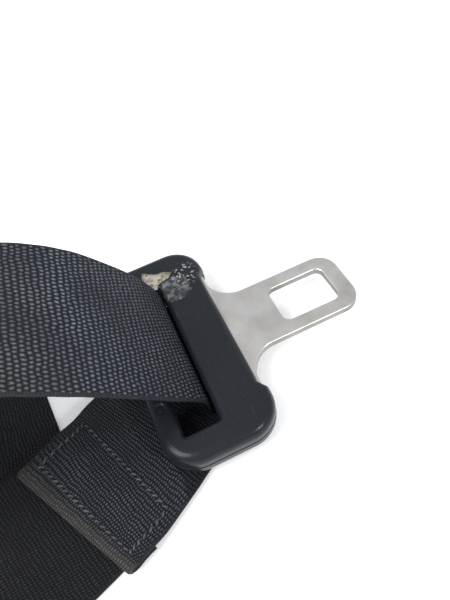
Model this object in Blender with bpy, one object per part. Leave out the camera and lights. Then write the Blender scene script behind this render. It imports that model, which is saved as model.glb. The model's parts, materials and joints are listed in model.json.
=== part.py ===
"""Tongue half of a racing harness: latch tongue, three runs of webbing, adjuster and end fittings.

The origin is on the top face of the tongue's plate, on its centre line, between the cover and the
latch hole. +X runs along the blade to its tip, +Z is up and the harness lies on a surface below.
All sizes in the tables below are millimetres and are scaled to metres when a mesh is made.
"""
import math

import bmesh
import bpy
from mathutils import Matrix, Vector

MM = 0.001

# ---------------------------------------------------------------- driving dimensions (mm)
WEB_WIDTH = 48.0
WEB_THICKNESS = 1.3
LAYER = 1.6                      # one webbing layer and the air over it
SURFACE_Z = -10.1                # the surface that the harness lies on
FIRST_LAYER = 0.1 + WEB_THICKNESS / 2
SECOND_LAYER = FIRST_LAYER + LAYER
GAP = 0.3                        # clearance between neighbouring pieces

PLATE_THICKNESS = 2.8
BLADE_HALF = 12.6
BLADE_TIP = 36.3
TIP_RADIUS = 7.0
ROOT_RADIUS = 10.0
SHOULDER_X = -8.0
PLATE_REAR = -41.2
PLATE_HALF = 36.5
PLATE_CORNER = 8.5
LATCH_HOLE = (9.4, 30.2, -7.4, 7.4)
LATCH_RADIUS = 2.6
TONGUE_PIVOT = (-39.7, 0.0, -1.4)   # the rear rail, which the webbing's loop holds

COVER_FRONT = -9.0
COVER_EAR_FRONT = -7.0
COVER_REAR = -43.5
COVER_HALF = 40.2
COVER_TOP = 4.0
COVER_BOTTOM = -6.8
COVER_CORNER = 11.0
COVER_EDGE = 3.3
COVER_FLOOR = 2.0                # plastic left over a peg's end
EAR_START = 24.2
EAR_END = 27.2
PARTING_Z = -1.4
SLOT = (-36.0, -24.4, -31.0, 25.2)
SLOT_CORNER = 1.2
SLOT_EDGE = 2.0
LINER_WALL = 0.8
PEG_PLACES = ((-15.5, -30.5), (-15.5, 30.5))
PEG_RADIUS = 2.0

SHOULDER_LINE = (-136.0, 1.0, 180.0)   # place and heading of the run to the anchor
LAP_LINE = (-74.9, -35.0, 199.1)       # place and heading of the run to the hook

BAR_X = 19.0                     # slide bar of the adjuster, along the shoulder line
BAR_Z = 4.2
BAR_RADIUS = 2.5
BAR_NECK = 1.8
BAR_TRAVEL = 3.5
BAR_BODY_HALF = 27.2             # the bar's body stops inside the cheeks
BAR_HEAD_RADIUS = 2.6
FRAME_LENGTH = 46.0
FRAME_HALF = 31.0
FRAME_LOW = 7.1
FRAME_HIGH = 9.6
FRAME_CORNER = 3.0
CHEEK_THICKNESS = 2.5
CHEEK_FOOT = 0.1
CHEEK_SPAN = (9.0, 30.0)
WINDOW_CORNER = 2.0
GRIP_WINDOW = (8.0, 25.5, -27.0, 27.0)
REAR_WINDOW = (31.5, 39.5, -26.0, 26.0)
REAR_BAR_X = 42.75

LOOP_RADIUS = 4.55               # middle of the webbing round an end bar
END_BAR_HALF = 3.2               # half depth of an end fitting's bar
END_SLOT = (3.2, 12.0, -25.5, 25.5)
END_SLOT_CORNER = 2.5
END_HALF = 31.0
END_SHOULDER = 4.0               # round corner between an end fitting's bar and its nose
END_TIP = 2.0                    # round corner at the bar's own ends
ROLL_PITCH = 2 * LAYER
ROLL_CORE = 6.0
ROLL_STEPS = 20
TIE_WIDTH = 9.0
TIE_THICKNESS = 1.2

SHOULDER_ROLL_X = 94.0
SHOULDER_ROLL_TURNS = 4.25
ANCHOR_BAR = (161.0, 8.8)
ANCHOR_THICKNESS = 3.0
ANCHOR_REACH = 32.0              # bar to bolt
ANCHOR_NOSE = 13.5
BOLT_RADIUS = 5.5
BUSH_WALL = 1.8
WASHER_RADIUS = 9.4
RETAINER_RADIUS = 9.2
BOLT_HEAD_RADIUS = 9.2
BOLT_TOP = 21.0

LAP_ROLL_X = 68.0
LAP_ROLL_TURNS = 2.75
LAP_TILT = 0.8                   # its far edge lies on the tail, so it is higher by this
HOOK_BAR = (131.0, 5.9)
HOOK_THICKNESS = 4.0
HOOK_EYE_X = 50.0                # bar to eye
HOOK_INNER = 8.5
HOOK_OUTER = 17.0
MOUTH_START = 80.0               # the nose's end, an angle round the eye
HOOK_FLANK = (27.0, -20.0)       # corner between the bar end and the bow
HOOK_HUMP = (24.0, 19.0)         # corner between the bar end and the gate's boss
GATE_PIVOT = (32.0, 8.0)
GATE_BOSS = 5.0
GATE_SHEET = 1.0
PIN_RADIUS = 2.2
PIN_HEAD_RADIUS = 3.8
SPRING_ROOM = 2.6                # along the pin, between the gate and the pin's head
SPRING_WIRE = 0.25
SPRING_TURNS = 2.25
SPRING_STEPS = 12                # per turn

# ---------------------------------------------------------------- finishes: colour, roughness, metallic
BARE_STEEL = ((0.60, 0.57, 0.52), 0.36, 1.0)
DARK_STEEL = ((0.10, 0.10, 0.11), 0.45, 1.0)
ZINC = ((0.70, 0.66, 0.50), 0.35, 1.0)
COVER_PLASTIC = ((0.020, 0.023, 0.030), 0.42, 0.0)
LINER_PLASTIC = ((0.012, 0.012, 0.013), 0.55, 0.0)
WEBBING = ((0.055, 0.062, 0.075), 0.85, 0.0)
THREAD = ((0.22, 0.22, 0.24), 0.80, 0.0)
RUBBER = ((0.015, 0.015, 0.016), 0.70, 0.0)
FIBRE = ((0.45, 0.36, 0.24), 0.80, 0.0)


# ---------------------------------------------------------------- scene
def clear_scene():
    """Remove whatever the file holds."""
    for item in list(bpy.data.objects):
        bpy.data.objects.remove(item, do_unlink=True)


def make_material(name, finish):
    """Return a Principled material."""
    colour, roughness, metallic = finish
    material = bpy.data.materials.new(name)
    material.use_nodes = True
    shader = material.node_tree.nodes["Principled BSDF"]
    shader.inputs["Base Color"].default_value = (*colour, 1.0)
    shader.inputs["Roughness"].default_value = roughness
    shader.inputs["Metallic"].default_value = metallic
    return material


def empty(name, place, yaw=0.0, parent=None):
    """Return an empty that pieces hang from, at a place in its parent's frame."""
    holder = bpy.data.objects.new(name, None)
    holder.location = Vector(place) * MM
    holder.rotation_euler = (0.0, 0.0, math.radians(yaw))
    holder.parent = parent
    bpy.context.scene.collection.objects.link(holder)
    return holder


def mesh_object(name, shape):
    """Turn a bmesh in millimetres into an object in metres."""
    bmesh.ops.scale(shape, vec=(MM, MM, MM), verts=shape.verts)
    bmesh.ops.recalc_face_normals(shape, faces=shape.faces)
    mesh = bpy.data.meshes.new(name)
    shape.to_mesh(mesh)
    shape.free()
    item = bpy.data.objects.new(name, mesh)
    bpy.context.scene.collection.objects.link(item)
    return item


def add(name, shape, finish, parent=None, shift=(0.0, 0.0, 0.0)):
    """Add a piece with its own material; shift places the shape's zero in the parent's frame."""
    item = mesh_object(name, shape)
    item.data.materials.append(make_material(name, finish))
    item.data.shade_smooth()
    item.data.set_sharp_from_angle(angle=math.radians(35))
    item.parent = parent
    item.location = Vector(shift) * MM
    return item


def cut(item, shape, operation="DIFFERENCE"):
    """Cut a piece with a hidden cutter in the piece's own frame, or join the cutter to it."""
    cutter = mesh_object(item.name + "_cutter", shape)
    cutter.parent = item
    cutter.hide_render = True
    cutter.display_type = "WIRE"
    modifier = item.modifiers.new("cut", "BOOLEAN")
    modifier.object = cutter
    modifier.operation = operation
    modifier.solver = "EXACT"


def bevel(item, width, segments):
    """Round the sharp edges of a piece."""
    modifier = item.modifiers.new("edge", "BEVEL")
    modifier.width = width * MM
    modifier.segments = segments
    modifier.limit_method = "ANGLE"
    modifier.angle_limit = math.radians(40)


# ---------------------------------------------------------------- outlines and solids
def arc(x, y, radius, start, end, steps=6):
    """Return points of an arc, angles in degrees."""
    turns = [math.radians(start + (end - start) * i / steps) for i in range(steps + 1)]
    return [(x + radius * math.cos(a), y + radius * math.sin(a)) for a in turns]


def circle(radius, steps=24):
    """Return the outline of a circle about zero."""
    return arc(0, 0, radius, 0, 360 - 360 / steps, steps - 1)


def rounded_box(x0, x1, y0, y1, radius, steps=4):
    """Return the outline of a rectangle with round corners."""
    return (arc(x1 - radius, y0 + radius, radius, -90, 0, steps)
            + arc(x1 - radius, y1 - radius, radius, 0, 90, steps)
            + arc(x0 + radius, y1 - radius, radius, 90, 180, steps)
            + arc(x0 + radius, y0 + radius, radius, 180, 270, steps))


def mirrored(side):
    """Return a whole outline from its +Y half, which runs from the front to the rear."""
    return side + [(x, -y) for x, y in reversed(side)]


def skin(rings, closed=False):
    """Join rings of points into a solid: a tube with end caps, or a closed ring of tube."""
    shape = bmesh.new()
    loops = [[shape.verts.new(point) for point in ring] for ring in rings]
    pairs = list(zip(loops[:-1], loops[1:]))
    if closed:
        pairs.append((loops[-1], loops[0]))
    else:
        shape.faces.new(list(reversed(loops[0])))
        shape.faces.new(loops[-1])
    for here, after in pairs:
        for k in range(len(here)):
            nxt = (k + 1) % len(here)
            shape.faces.new((here[k], here[nxt], after[nxt], after[k]))
    return shape


def stack(levels):
    """Return a solid through (outline, height) levels, whose outlines have equal counts."""
    return skin([[(x, y, z) for x, y in outline] for outline, z in levels])


def prism(outline, low, high):
    """Extrude a flat outline between two heights."""
    return stack([(outline, low), (outline, high)])


def tube(inner, outer, low, high, steps=24):
    """Return a plain ring about Z."""
    rings = []
    for step in range(steps):
        angle = 2 * math.pi * step / steps
        profile = ((inner, low), (outer, low), (outer, high), (inner, high))
        rings.append([(r * math.cos(angle), r * math.sin(angle), z) for r, z in profile])
    return skin(rings, closed=True)


def rod(profile, steps=20):
    """Return a turned solid about Z from its (radius, height) profile."""
    return stack([([(x * radius, y * radius) for x, y in circle(1.0, steps)], z) for radius, z in profile])


def moved(shape, x, y, z):
    """Shift a shape and return it."""
    bmesh.ops.translate(shape, vec=(x, y, z), verts=shape.verts)
    return shape


def laid(shape):
    """Lay a shape down, so that what ran along +Z runs along -Y and what ran along +Y is up."""
    bmesh.ops.rotate(shape, matrix=Matrix.Rotation(math.radians(90), 3, "X"), verts=shape.verts)
    return shape


# ---------------------------------------------------------------- webbing
def slope(rows, knots, i):
    """Return the speed of a spline at station i."""
    before = (rows[i] - rows[i - 1]) / (knots[i] - knots[i - 1])
    after = (rows[i + 1] - rows[i]) / (knots[i + 1] - knots[i])
    across = (rows[i + 1] - rows[i - 1]) / (knots[i + 1] - knots[i - 1])
    return before + after - across


def spline(stations, steps=3):
    """Return a smooth route through stations, each a flat tuple of numbers."""
    rows = [Vector(row) for row in stations]
    rows = [2 * rows[0] - rows[1]] + rows + [2 * rows[-1] - rows[-2]]
    knots = [0.0]
    for a, b in zip(rows[:-1], rows[1:]):
        knots.append(knots[-1] + math.sqrt((b - a).length))
    route = []
    for i in range(1, len(rows) - 2):
        span = knots[i + 1] - knots[i]
        leave = slope(rows, knots, i) * span
        arrive = slope(rows, knots, i + 1) * span
        for step in range(steps):
            t = step / steps
            route.append((2 * t ** 3 - 3 * t ** 2 + 1) * rows[i] + (t ** 3 - 2 * t ** 2 + t) * leave
                         + (3 * t ** 2 - 2 * t ** 3) * rows[i + 1] + (t ** 3 - t ** 2) * arrive)
    route.append(rows[-2])
    return route


def station(x, y, z, arm, half=WEB_WIDTH / 2):
    """Return a route station: the middle of the webbing and the arm to its +Y edge."""
    return (x, y, z, *(Vector(arm).normalized() * half))


def flat_station(x, z, tilt=0.0):
    """Return a station on a line's own middle plane, z above the surface."""
    return (x, 0.0, z, 0.0, WEB_WIDTH / 2, tilt)


def surface_frames(route):
    """Return (middle, arm, up) for each point of a route; up is normal to the webbing."""
    frames = []
    for i, row in enumerate(route):
        before = route[max(i - 1, 0)]
        after = route[min(i + 1, len(route) - 1)]
        along = Vector(after[:3]) - Vector(before[:3])
        arm = Vector(row[3:])
        frames.append((Vector(row[:3]), arm, along.cross(arm).normalized()))
    return frames


def strap(route):
    """Loft a flat strap along a route, as one closed solid."""
    rings = []
    for middle, arm, up in surface_frames(route):
        lift = up * (WEB_THICKNESS / 2)
        rings.append((middle - arm - lift, middle + arm - lift, middle + arm + lift, middle - arm + lift))
    return skin(rings)


def nearest(route, place):
    """Return the index of the route's point nearest a place."""
    gaps = [(Vector(row[:3]) - Vector(place)).length for row in route]
    return gaps.index(min(gaps))


def seam(route, first, last, inset=3.5, thread=0.9, rise=0.4):
    """Return a closed row of stitching that lies on a stretch of webbing between two places."""
    frames = surface_frames(route)[nearest(route, first):nearest(route, last) + 1]
    share = 1 - inset / (WEB_WIDTH / 2)
    cross = [share * (1 - 2 * k / 6) for k in range(1, 6)]
    stops = [(frame, share) for frame in frames]
    stops += [(frames[-1], part) for part in cross]
    stops += [(frame, -share) for frame in reversed(frames)]
    stops += [(frames[0], -part) for part in cross]
    lift = WEB_THICKNESS / 2 + GAP
    points = [(middle + arm * part + up * lift, up) for (middle, arm, up), part in stops]
    centre = sum((point for point, up in points), Vector()) / len(points)
    rings = []
    for point, up in points:
        inward = centre - point
        inward = (inward - up * inward.dot(up)).normalized() * thread
        rings.append((point, point + inward, point + inward + up * rise, point + up * rise))
    return skin(rings, closed=True)


def coil(roll_x, turns):
    """Return the two strands of webbing rolled up from its middle, and the roll's outer radius.

    Strand one winds inward from the roll's lowest point, strand two winds outward beside it and
    leaves the roll 108 degrees after the lowest point.
    """
    radius = ROLL_CORE + ROLL_PITCH * turns
    roll_z = FIRST_LAYER + radius
    last = round(turns * ROLL_STEPS)
    leave = round(0.3 * ROLL_STEPS)

    def point(step, extra):
        turn = math.radians(-90 + 360 * step / ROLL_STEPS)
        out = radius + extra - ROLL_PITCH * step / ROLL_STEPS
        return (roll_x + out * math.cos(turn), roll_z + out * math.sin(turn))

    inward = [point(step, 0.0) for step in range(last + 1)]
    outward = [point(step, LAYER) for step in range(last, leave - 1, -1)]
    end = math.radians(-90 + 360 * last / ROLL_STEPS)
    fold = []
    for turn in (-60, -20, 20, 60):
        out = ROLL_CORE + LAYER / 2 * (1 + math.sin(math.radians(turn)))
        ahead = LAYER / 2 * math.cos(math.radians(turn))
        fold.append((roll_x + out * math.cos(end) - ahead * math.sin(end),
                     roll_z + out * math.sin(end) + ahead * math.cos(end)))
    return inward + fold + outward, radius, roll_z


def rolled_route(start, strands, end, steps=2):
    """Join a run, a coil and another run into one route."""
    lead = spline(start + [flat_station(*strands[0])], steps)
    middle = [Vector(flat_station(x, z)) for x, z in strands[1:-1]]
    tail = spline([flat_station(*strands[-1])] + [flat_station(x, z) for x, z in end], steps)
    return lead + middle + tail


def storage_tie(name, parent, roll_x, roll_z, radius):
    """Add the band that runs through a roll's core and over its top."""
    low = roll_z - TIE_THICKNESS / 2
    high = roll_z + radius + WEB_THICKNESS / 2 + GAP + TIE_THICKNESS
    side = WEB_WIDTH / 2 + GAP + TIE_THICKNESS
    outer = rounded_box(-side, side, low, high, 1.8, 3)
    wall = TIE_THICKNESS
    inner = rounded_box(-side + wall, side - wall, low + wall, high - wall, 0.6, 3)
    near = roll_x - TIE_WIDTH / 2
    far = roll_x + TIE_WIDTH / 2
    rings = []
    for (oy, oz), (iy, iz) in zip(outer, inner):
        rings.append(((near, oy, oz), (far, oy, oz), (far, iy, iz), (near, iy, iz)))
    add(name, skin(rings, closed=True), RUBBER, parent)


# ---------------------------------------------------------------- latch tongue
def plate_outline(grow=0.0):
    """Return the outline of the tongue's plate, grown all round by a clearance."""
    half = BLADE_HALF + grow
    bend = ROOT_RADIUS - grow
    corner = PLATE_CORNER + grow
    front = SHOULDER_X - PLATE_CORNER
    rear = PLATE_REAR + PLATE_CORNER
    side = PLATE_HALF - PLATE_CORNER
    tip = arc(BLADE_TIP - TIP_RADIUS, BLADE_HALF - TIP_RADIUS, TIP_RADIUS + grow, 0, 90)
    root = arc(SHOULDER_X + ROOT_RADIUS, half + bend, bend, 270, 180)
    shoulder = arc(front, side, corner, 0, 90, 5)
    return mirrored(tip + root + shoulder + arc(rear, side, corner, 90, 180, 5))


def cover_outline(inset=0.0):
    """Return the outline of the cover, with its two ears at the front, drawn in by an inset."""
    corner = COVER_CORNER - inset
    side = COVER_HALF - COVER_CORNER
    drift = 0.3 * inset          # keeps the slanted step between front and ear parallel
    half = [(COVER_FRONT - inset, EAR_START + drift), (COVER_EAR_FRONT - inset, EAR_END + drift)]
    half += arc(COVER_EAR_FRONT - COVER_CORNER, side, corner, 0, 90, 8)
    half += arc(COVER_REAR + COVER_CORNER, side, corner, 90, 180, 8)
    return mirrored(half)


def slot_outline(grow):
    """Return the outline of the webbing's slot, grown all round."""
    x0, x1, y0, y1 = SLOT
    return rounded_box(x0 - grow, x1 + grow, y0 - grow, y1 + grow, SLOT_CORNER + grow)


def cover_half(name, outer, parting, parent, shift):
    """Make one half of the cover between its outer face and the parting plane."""
    up = 1 if outer > parting else -1
    levels = [(cover_outline(), parting)]
    mouth = [(slot_outline(0.0), parting - up * 2)]
    for turn in range(0, 91, 18):
        rise = math.sin(math.radians(turn)) - 1
        draw = 1 - math.cos(math.radians(turn))
        levels.append((cover_outline(COVER_EDGE * draw), outer + up * COVER_EDGE * rise))
        mouth.append((slot_outline(SLOT_EDGE * draw), outer + up * SLOT_EDGE * rise))
    mouth.append((slot_outline(SLOT_EDGE), outer + up * 2))
    body = add(name, stack(levels), COVER_PLASTIC, parent, shift)
    seat = -PLATE_THICKNESS / 2 + up * (PLATE_THICKNESS / 2 + GAP)
    inside = parting - up * 2
    cut(body, prism(plate_outline(GAP), inside, seat))
    cut(body, stack(mouth))
    for x, y in PEG_PLACES:
        cut(body, moved(prism(circle(PEG_RADIUS + GAP), inside, outer - up * COVER_FLOOR), x, y, 0))


def tongue():
    """Make the latch tongue: plate, two cover halves, slot liner and pegs."""
    swing = empty("tongue_swing", TONGUE_PIVOT)
    shift = tuple(-value for value in TONGUE_PIVOT)
    low = -PLATE_THICKNESS
    plate = add("tongue_plate", prism(plate_outline(), low, 0.0), BARE_STEEL, swing, shift)
    cut(plate, prism(rounded_box(*LATCH_HOLE, LATCH_RADIUS), low - 1, 1.0))
    cut(plate, prism(slot_outline(LINER_WALL + GAP), low - 1, 1.0))
    for x, y in PEG_PLACES:
        cut(plate, moved(prism(circle(PEG_RADIUS + GAP), low - 1, 1.0), x, y, 0))
    bevel(plate, 0.35, 2)

    cover_half("tongue_cover_upper", COVER_TOP, PARTING_Z + GAP / 2, swing, shift)
    cover_half("tongue_cover_lower", COVER_BOTTOM, PARTING_Z - GAP / 2, swing, shift)

    liner = add("tongue_slot_liner", prism(slot_outline(LINER_WALL), low, 0.0), LINER_PLASTIC, swing, shift)
    cut(liner, prism(slot_outline(0.0), low - 1, 1.0))

    bottom = COVER_BOTTOM + COVER_FLOOR + GAP
    top = COVER_TOP - COVER_FLOOR - GAP
    for side, (x, y) in zip(("right", "left"), PEG_PLACES):
        peg = moved(prism(circle(PEG_RADIUS, 20), bottom, top), x, y, 0)
        add(f"cover_peg_{side}", peg, LINER_PLASTIC, swing, shift)


# ---------------------------------------------------------------- tongue webbing
def on_shoulder_line(points):
    """Return world stations for (x, z) points of the shoulder line."""
    return [(SHOULDER_LINE[0] - x, SHOULDER_LINE[1], SURFACE_Z + z, 0.0, WEB_WIDTH / 2, 0.0)
            for x, z in points]


def tongue_webbing_route():
    """Return the route of the webbing that carries the tongue.

    It starts at the folded hem, runs under the tongue, folds back under the front rail, rises
    through the slot, arches over its own tail, turns round the adjuster's slide bar and ends
    as the tail.
    """
    tilt = 0.034                 # the hem lies partly on the tail, so its +Y edge is higher
    hem = [station(-65.2, -30.8, -6.8, (-0.43, 0.90, tilt)),
           station(-70.5, -33.0, -6.8, (-0.49, 0.87, tilt)),
           station(-74.2, -34.7, -6.8, (-0.511, 0.86, tilt)),
           station(-74.95, -34.95, -6.0, (-0.511, 0.86, tilt)),
           station(-74.2, -34.7, -5.2, (-0.511, 0.86, tilt)),
           station(-69.5, -32.4, -5.2, (-0.42, 0.907, tilt)),
           station(-64.6, -30.2, -5.22, (-0.36, 0.933, tilt)),
           station(-60.6, -28.2, -6.15, (-0.37, 0.928, tilt)),
           station(-56.5, -25.6, -6.75, (-0.40, 0.916, tilt))]
    floor = SURFACE_Z + FIRST_LAYER
    second = SURFACE_Z + SECOND_LAYER
    below = [station(-52.0, -22.7, -7.0, (-0.46, 0.888, 0.022)),
             station(-46.3, -19.0, -7.8, (-0.50, 0.866, 0.010)),
             station(-36.0, -12.4, -8.4, (-0.49, 0.87, 0.0)),
             station(-26.0, -6.1, floor + 0.12, (-0.42, 0.907, 0.0)),
             (-18.9, -1.7, floor, -8.6, 23.2, 0.0),
             (-16.6, -0.3, floor, -7.6, 23.7, 0.0),
             (-15.8, 0.1, (floor + second) / 2, -7.0, 24.0, 0.0),
             (-16.6, 0.3, second, -5.6, 24.0, 0.0),
             (-19.2, 0.3, second, -3.2, 24.0, 0.0)]
    lip_x = SLOT[1] + SLOT_EDGE
    lip_z = COVER_BOTTOM + SLOT_EDGE
    for x, z in arc(lip_x, lip_z, 3.0, 270, 180, 4):
        below.append((x, 0.3, z, 0.0, 24.0, 0.0))
    arch = [station(-25.5, 0.3, -1.5, (0.0, 1.0, 0.0)),
            station(-26.6, 0.3, 3.4, (0.016, 1.0, 0.009)),
            station(-33.2, 0.2, 14.0, (0.092, 0.994, 0.064)),
            station(-41.0, 0.2, 24.3, (0.13, 0.986, 0.103)),
            station(-49.3, 0.2, 34.2, (0.147, 0.981, 0.131)),
            station(-59.0, 0.5, 42.8, (0.13, 0.984, 0.126)),
            station(-69.6, 0.8, 50.0, (0.09, 0.992, 0.08)),
            station(-82.0, 1.0, 54.5, (0.05, 1.0, 0.04)),
            station(-94.0, 1.0, 52.0, (0.02, 1.0, 0.02)),
            station(-103.5, 1.0, 43.5, (0.0, 1.0, 0.0)),
            station(-110.0, 1.0, 31.5, (0.0, 1.0, 0.0)),
            station(-115.5, 1.0, 18.5, (0.0, 1.0, 0.0)),
            station(-121.5, 1.0, 7.5, (0.0, 1.0, 0.0)),
            station(-129.0, 1.0, 1.8, (0.0, 1.0, 0.0))]
    over = FRAME_HIGH + GAP + WEB_THICKNESS / 2
    wrap = BAR_RADIUS + GAP + WEB_THICKNESS / 2
    grip = on_shoulder_line([(1.0, over + 0.25), (7.5, over), (13.0, over - 1.2)]
                            + arc(BAR_X, BAR_Z, wrap, 80, -90, 8) + [(12.0, FIRST_LAYER)])
    tail = [station(-125.0, 1.4, floor, (0.0, 1.0, 0.0)),
            station(-100.0, 2.6, floor, (-0.05, 1.0, 0.0)),
            station(-74.5, 4.0, floor, (-0.11, 0.99, 0.0))]
    return spline(hem + below + arch + grip + tail)


def tongue_webbing():
    """Make the tongue's webbing and the stitching that closes its hem."""
    route = tongue_webbing_route()
    add("tongue_webbing", strap(route), WEBBING)
    hem_rows = seam(route, (-70.3, -32.8, -5.2), (-56.5, -25.6, -6.75))
    add("junction_stitching", hem_rows, THREAD)


# ---------------------------------------------------------------- shoulder line
def adjuster(line):
    """Make the adjuster: a folded frame and the bar that slides in its cheeks."""
    half = FRAME_HALF
    outline = rounded_box(0, FRAME_LENGTH, -half, half, FRAME_CORNER)
    frame = add("adjuster_frame", prism(outline, FRAME_LOW, FRAME_HIGH), BARE_STEEL, line)
    for inner in (-half, half - CHEEK_THICKNESS):
        cheek = rounded_box(*CHEEK_SPAN, CHEEK_FOOT, FRAME_LOW + 1.0, 1.0, 2)
        cut(frame, laid(prism(cheek, -inner - CHEEK_THICKNESS, -inner)), "UNION")
    cut(frame, prism(rounded_box(*GRIP_WINDOW, WINDOW_CORNER), FRAME_LOW - 2, FRAME_HIGH + 1))
    cut(frame, prism(rounded_box(*REAR_WINDOW, WINDOW_CORNER), FRAME_LOW - 1, FRAME_HIGH + 1))
    neck = BAR_NECK + GAP
    track = arc(BAR_X, BAR_Z, neck, -90, 90) + arc(BAR_X - BAR_TRAVEL, BAR_Z, neck, 90, 270)
    cut(frame, laid(prism(track, -half - 1, half + 1)))

    seat = empty("slide_bar_seat", (BAR_X, 0.0, BAR_Z), parent=line)
    end = [(BAR_RADIUS, BAR_BODY_HALF), (BAR_NECK, BAR_BODY_HALF + 0.4), (BAR_NECK, half + 0.4),
           (BAR_HEAD_RADIUS, half + 0.5), (BAR_HEAD_RADIUS, half + 1.6), (BAR_HEAD_RADIUS - 0.4, half + 2.0)]
    profile = [(radius, -z) for radius, z in reversed(end)] + end
    add("adjuster_slide_bar", laid(rod(profile)), DARK_STEEL, seat)


def end_shoulder():
    """Return the round corner between an end fitting's bar and its nose, on the +Y side."""
    return arc(END_SLOT[1], END_HALF - END_SHOULDER, END_SHOULDER, 40, 90, 3)


def end_tip():
    """Return the round corner at the rear end of an end fitting's bar, on the +Y side."""
    return arc(END_TIP - END_BAR_HALF, END_HALF - END_TIP, END_TIP, 90, 180, 3)


def opposite(points):
    """Return points mirrored to the other side, in reverse order."""
    return [(x, -y) for x, y in reversed(points)]


def anchor(line):
    """Make the bolt-in anchor: plate, bush, bolt, spring washer and retainer."""
    bar_x, bar_z = ANCHOR_BAR
    swing = empty("anchor_swing", (bar_x, 0.0, bar_z), parent=line)
    low = -ANCHOR_THICKNESS / 2
    high = ANCHOR_THICKNESS / 2
    side = arc(ANCHOR_REACH, 0, ANCHOR_NOSE, 0, 62) + end_shoulder() + end_tip()
    plate = add("anchor_plate", prism(mirrored(side[1:]), low, high), BARE_STEEL, swing)
    cut(plate, prism(rounded_box(*END_SLOT, END_SLOT_CORNER), low - 1, high + 1))
    bore = BOLT_RADIUS + BUSH_WALL
    cut(plate, moved(prism(circle(bore), low - 1, high + 1), ANCHOR_REACH, 0, 0))
    bevel(plate, 0.4, 2)

    at_bolt = (ANCHOR_REACH, 0.0, 0.0)
    hole = BOLT_RADIUS + 0.4
    add("anchor_bush", tube(hole, bore - GAP, low - 0.4, high + 0.8), ZINC, swing, at_bolt)
    add("anchor_washer", tube(hole, WASHER_RADIUS, low - 2.3, low - 0.8), ZINC, swing, at_bolt)
    grip = BOLT_RADIUS + 0.2     # the retainer's fingers almost touch the thread
    add("anchor_retainer", tube(grip, RETAINER_RADIUS, high + 1.2, high + 2.0), FIBRE, swing, at_bolt)
    spin = empty("bolt_spin", at_bolt, parent=swing)
    head = low - 2.8
    bolt = add("anchor_bolt", prism(circle(BOLT_HEAD_RADIUS, 6), 0.1 - bar_z, head), ZINC, spin)
    shank = rod([(BOLT_RADIUS, head - 0.6), (BOLT_RADIUS, BOLT_TOP - 1), (BOLT_RADIUS - 1, BOLT_TOP)], 24)
    cut(bolt, shank, "UNION")
    bevel(bolt, 0.4, 1)


def shoulder_run():
    """Make the run from the adjuster to the anchor."""
    x, y, yaw = SHOULDER_LINE
    line = empty("shoulder_line", (x, y, SURFACE_Z), yaw)
    adjuster(line)
    strands, radius, roll_z = coil(SHOULDER_ROLL_X, SHOULDER_ROLL_TURNS)
    start = [(72.0, FIRST_LAYER), (66.0, FIRST_LAYER), (60.0, FIRST_LAYER), (53.0, 1.2), (48.0, 2.6)]
    start += arc(REAR_BAR_X, (FRAME_LOW + FRAME_HIGH) / 2, LOOP_RADIUS, -90, -270, 8)
    start += [(48.0, 10.4), (54.0, 5.6), (60.0, 3.0), (66.0, 2.4), (72.0, 2.35), (79.0, 1.0)]
    leave = SHOULDER_ROLL_X + radius
    bar_x, bar_z = ANCHOR_BAR
    end = [(leave + 5.0, 15.0), (leave + 8.5, 8.5), (bar_x - 34, 4.6), (bar_x - 29, 2.9), (bar_x - 23, 2.4),
           (bar_x - 17, 2.4), (bar_x - 12, 3.5), (bar_x - 7.3, 7.6), (bar_x - 4.6, 11.2)]
    end += arc(bar_x, bar_z, LOOP_RADIUS, 115, -90, 9)
    end += [(bar_x - 6, 2.7), (bar_x - 11, 1.1), (bar_x - 17, FIRST_LAYER), (bar_x - 24, FIRST_LAYER)]
    route = rolled_route([flat_station(x, z) for x, z in start], strands, end)
    add("shoulder_webbing", strap(route), WEBBING, line)
    add("shoulder_adjuster_stitching", seam(route, (59.5, 0, 3.0), (70.0, 0, 2.35)), THREAD, line)
    sewn = seam(route, (bar_x - 26.0, 0, 2.6), (bar_x - 14.5, 0, 2.6))
    add("shoulder_anchor_stitching", sewn, THREAD, line)
    storage_tie("shoulder_tie", line, SHOULDER_ROLL_X, roll_z, radius)
    anchor(line)


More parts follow.
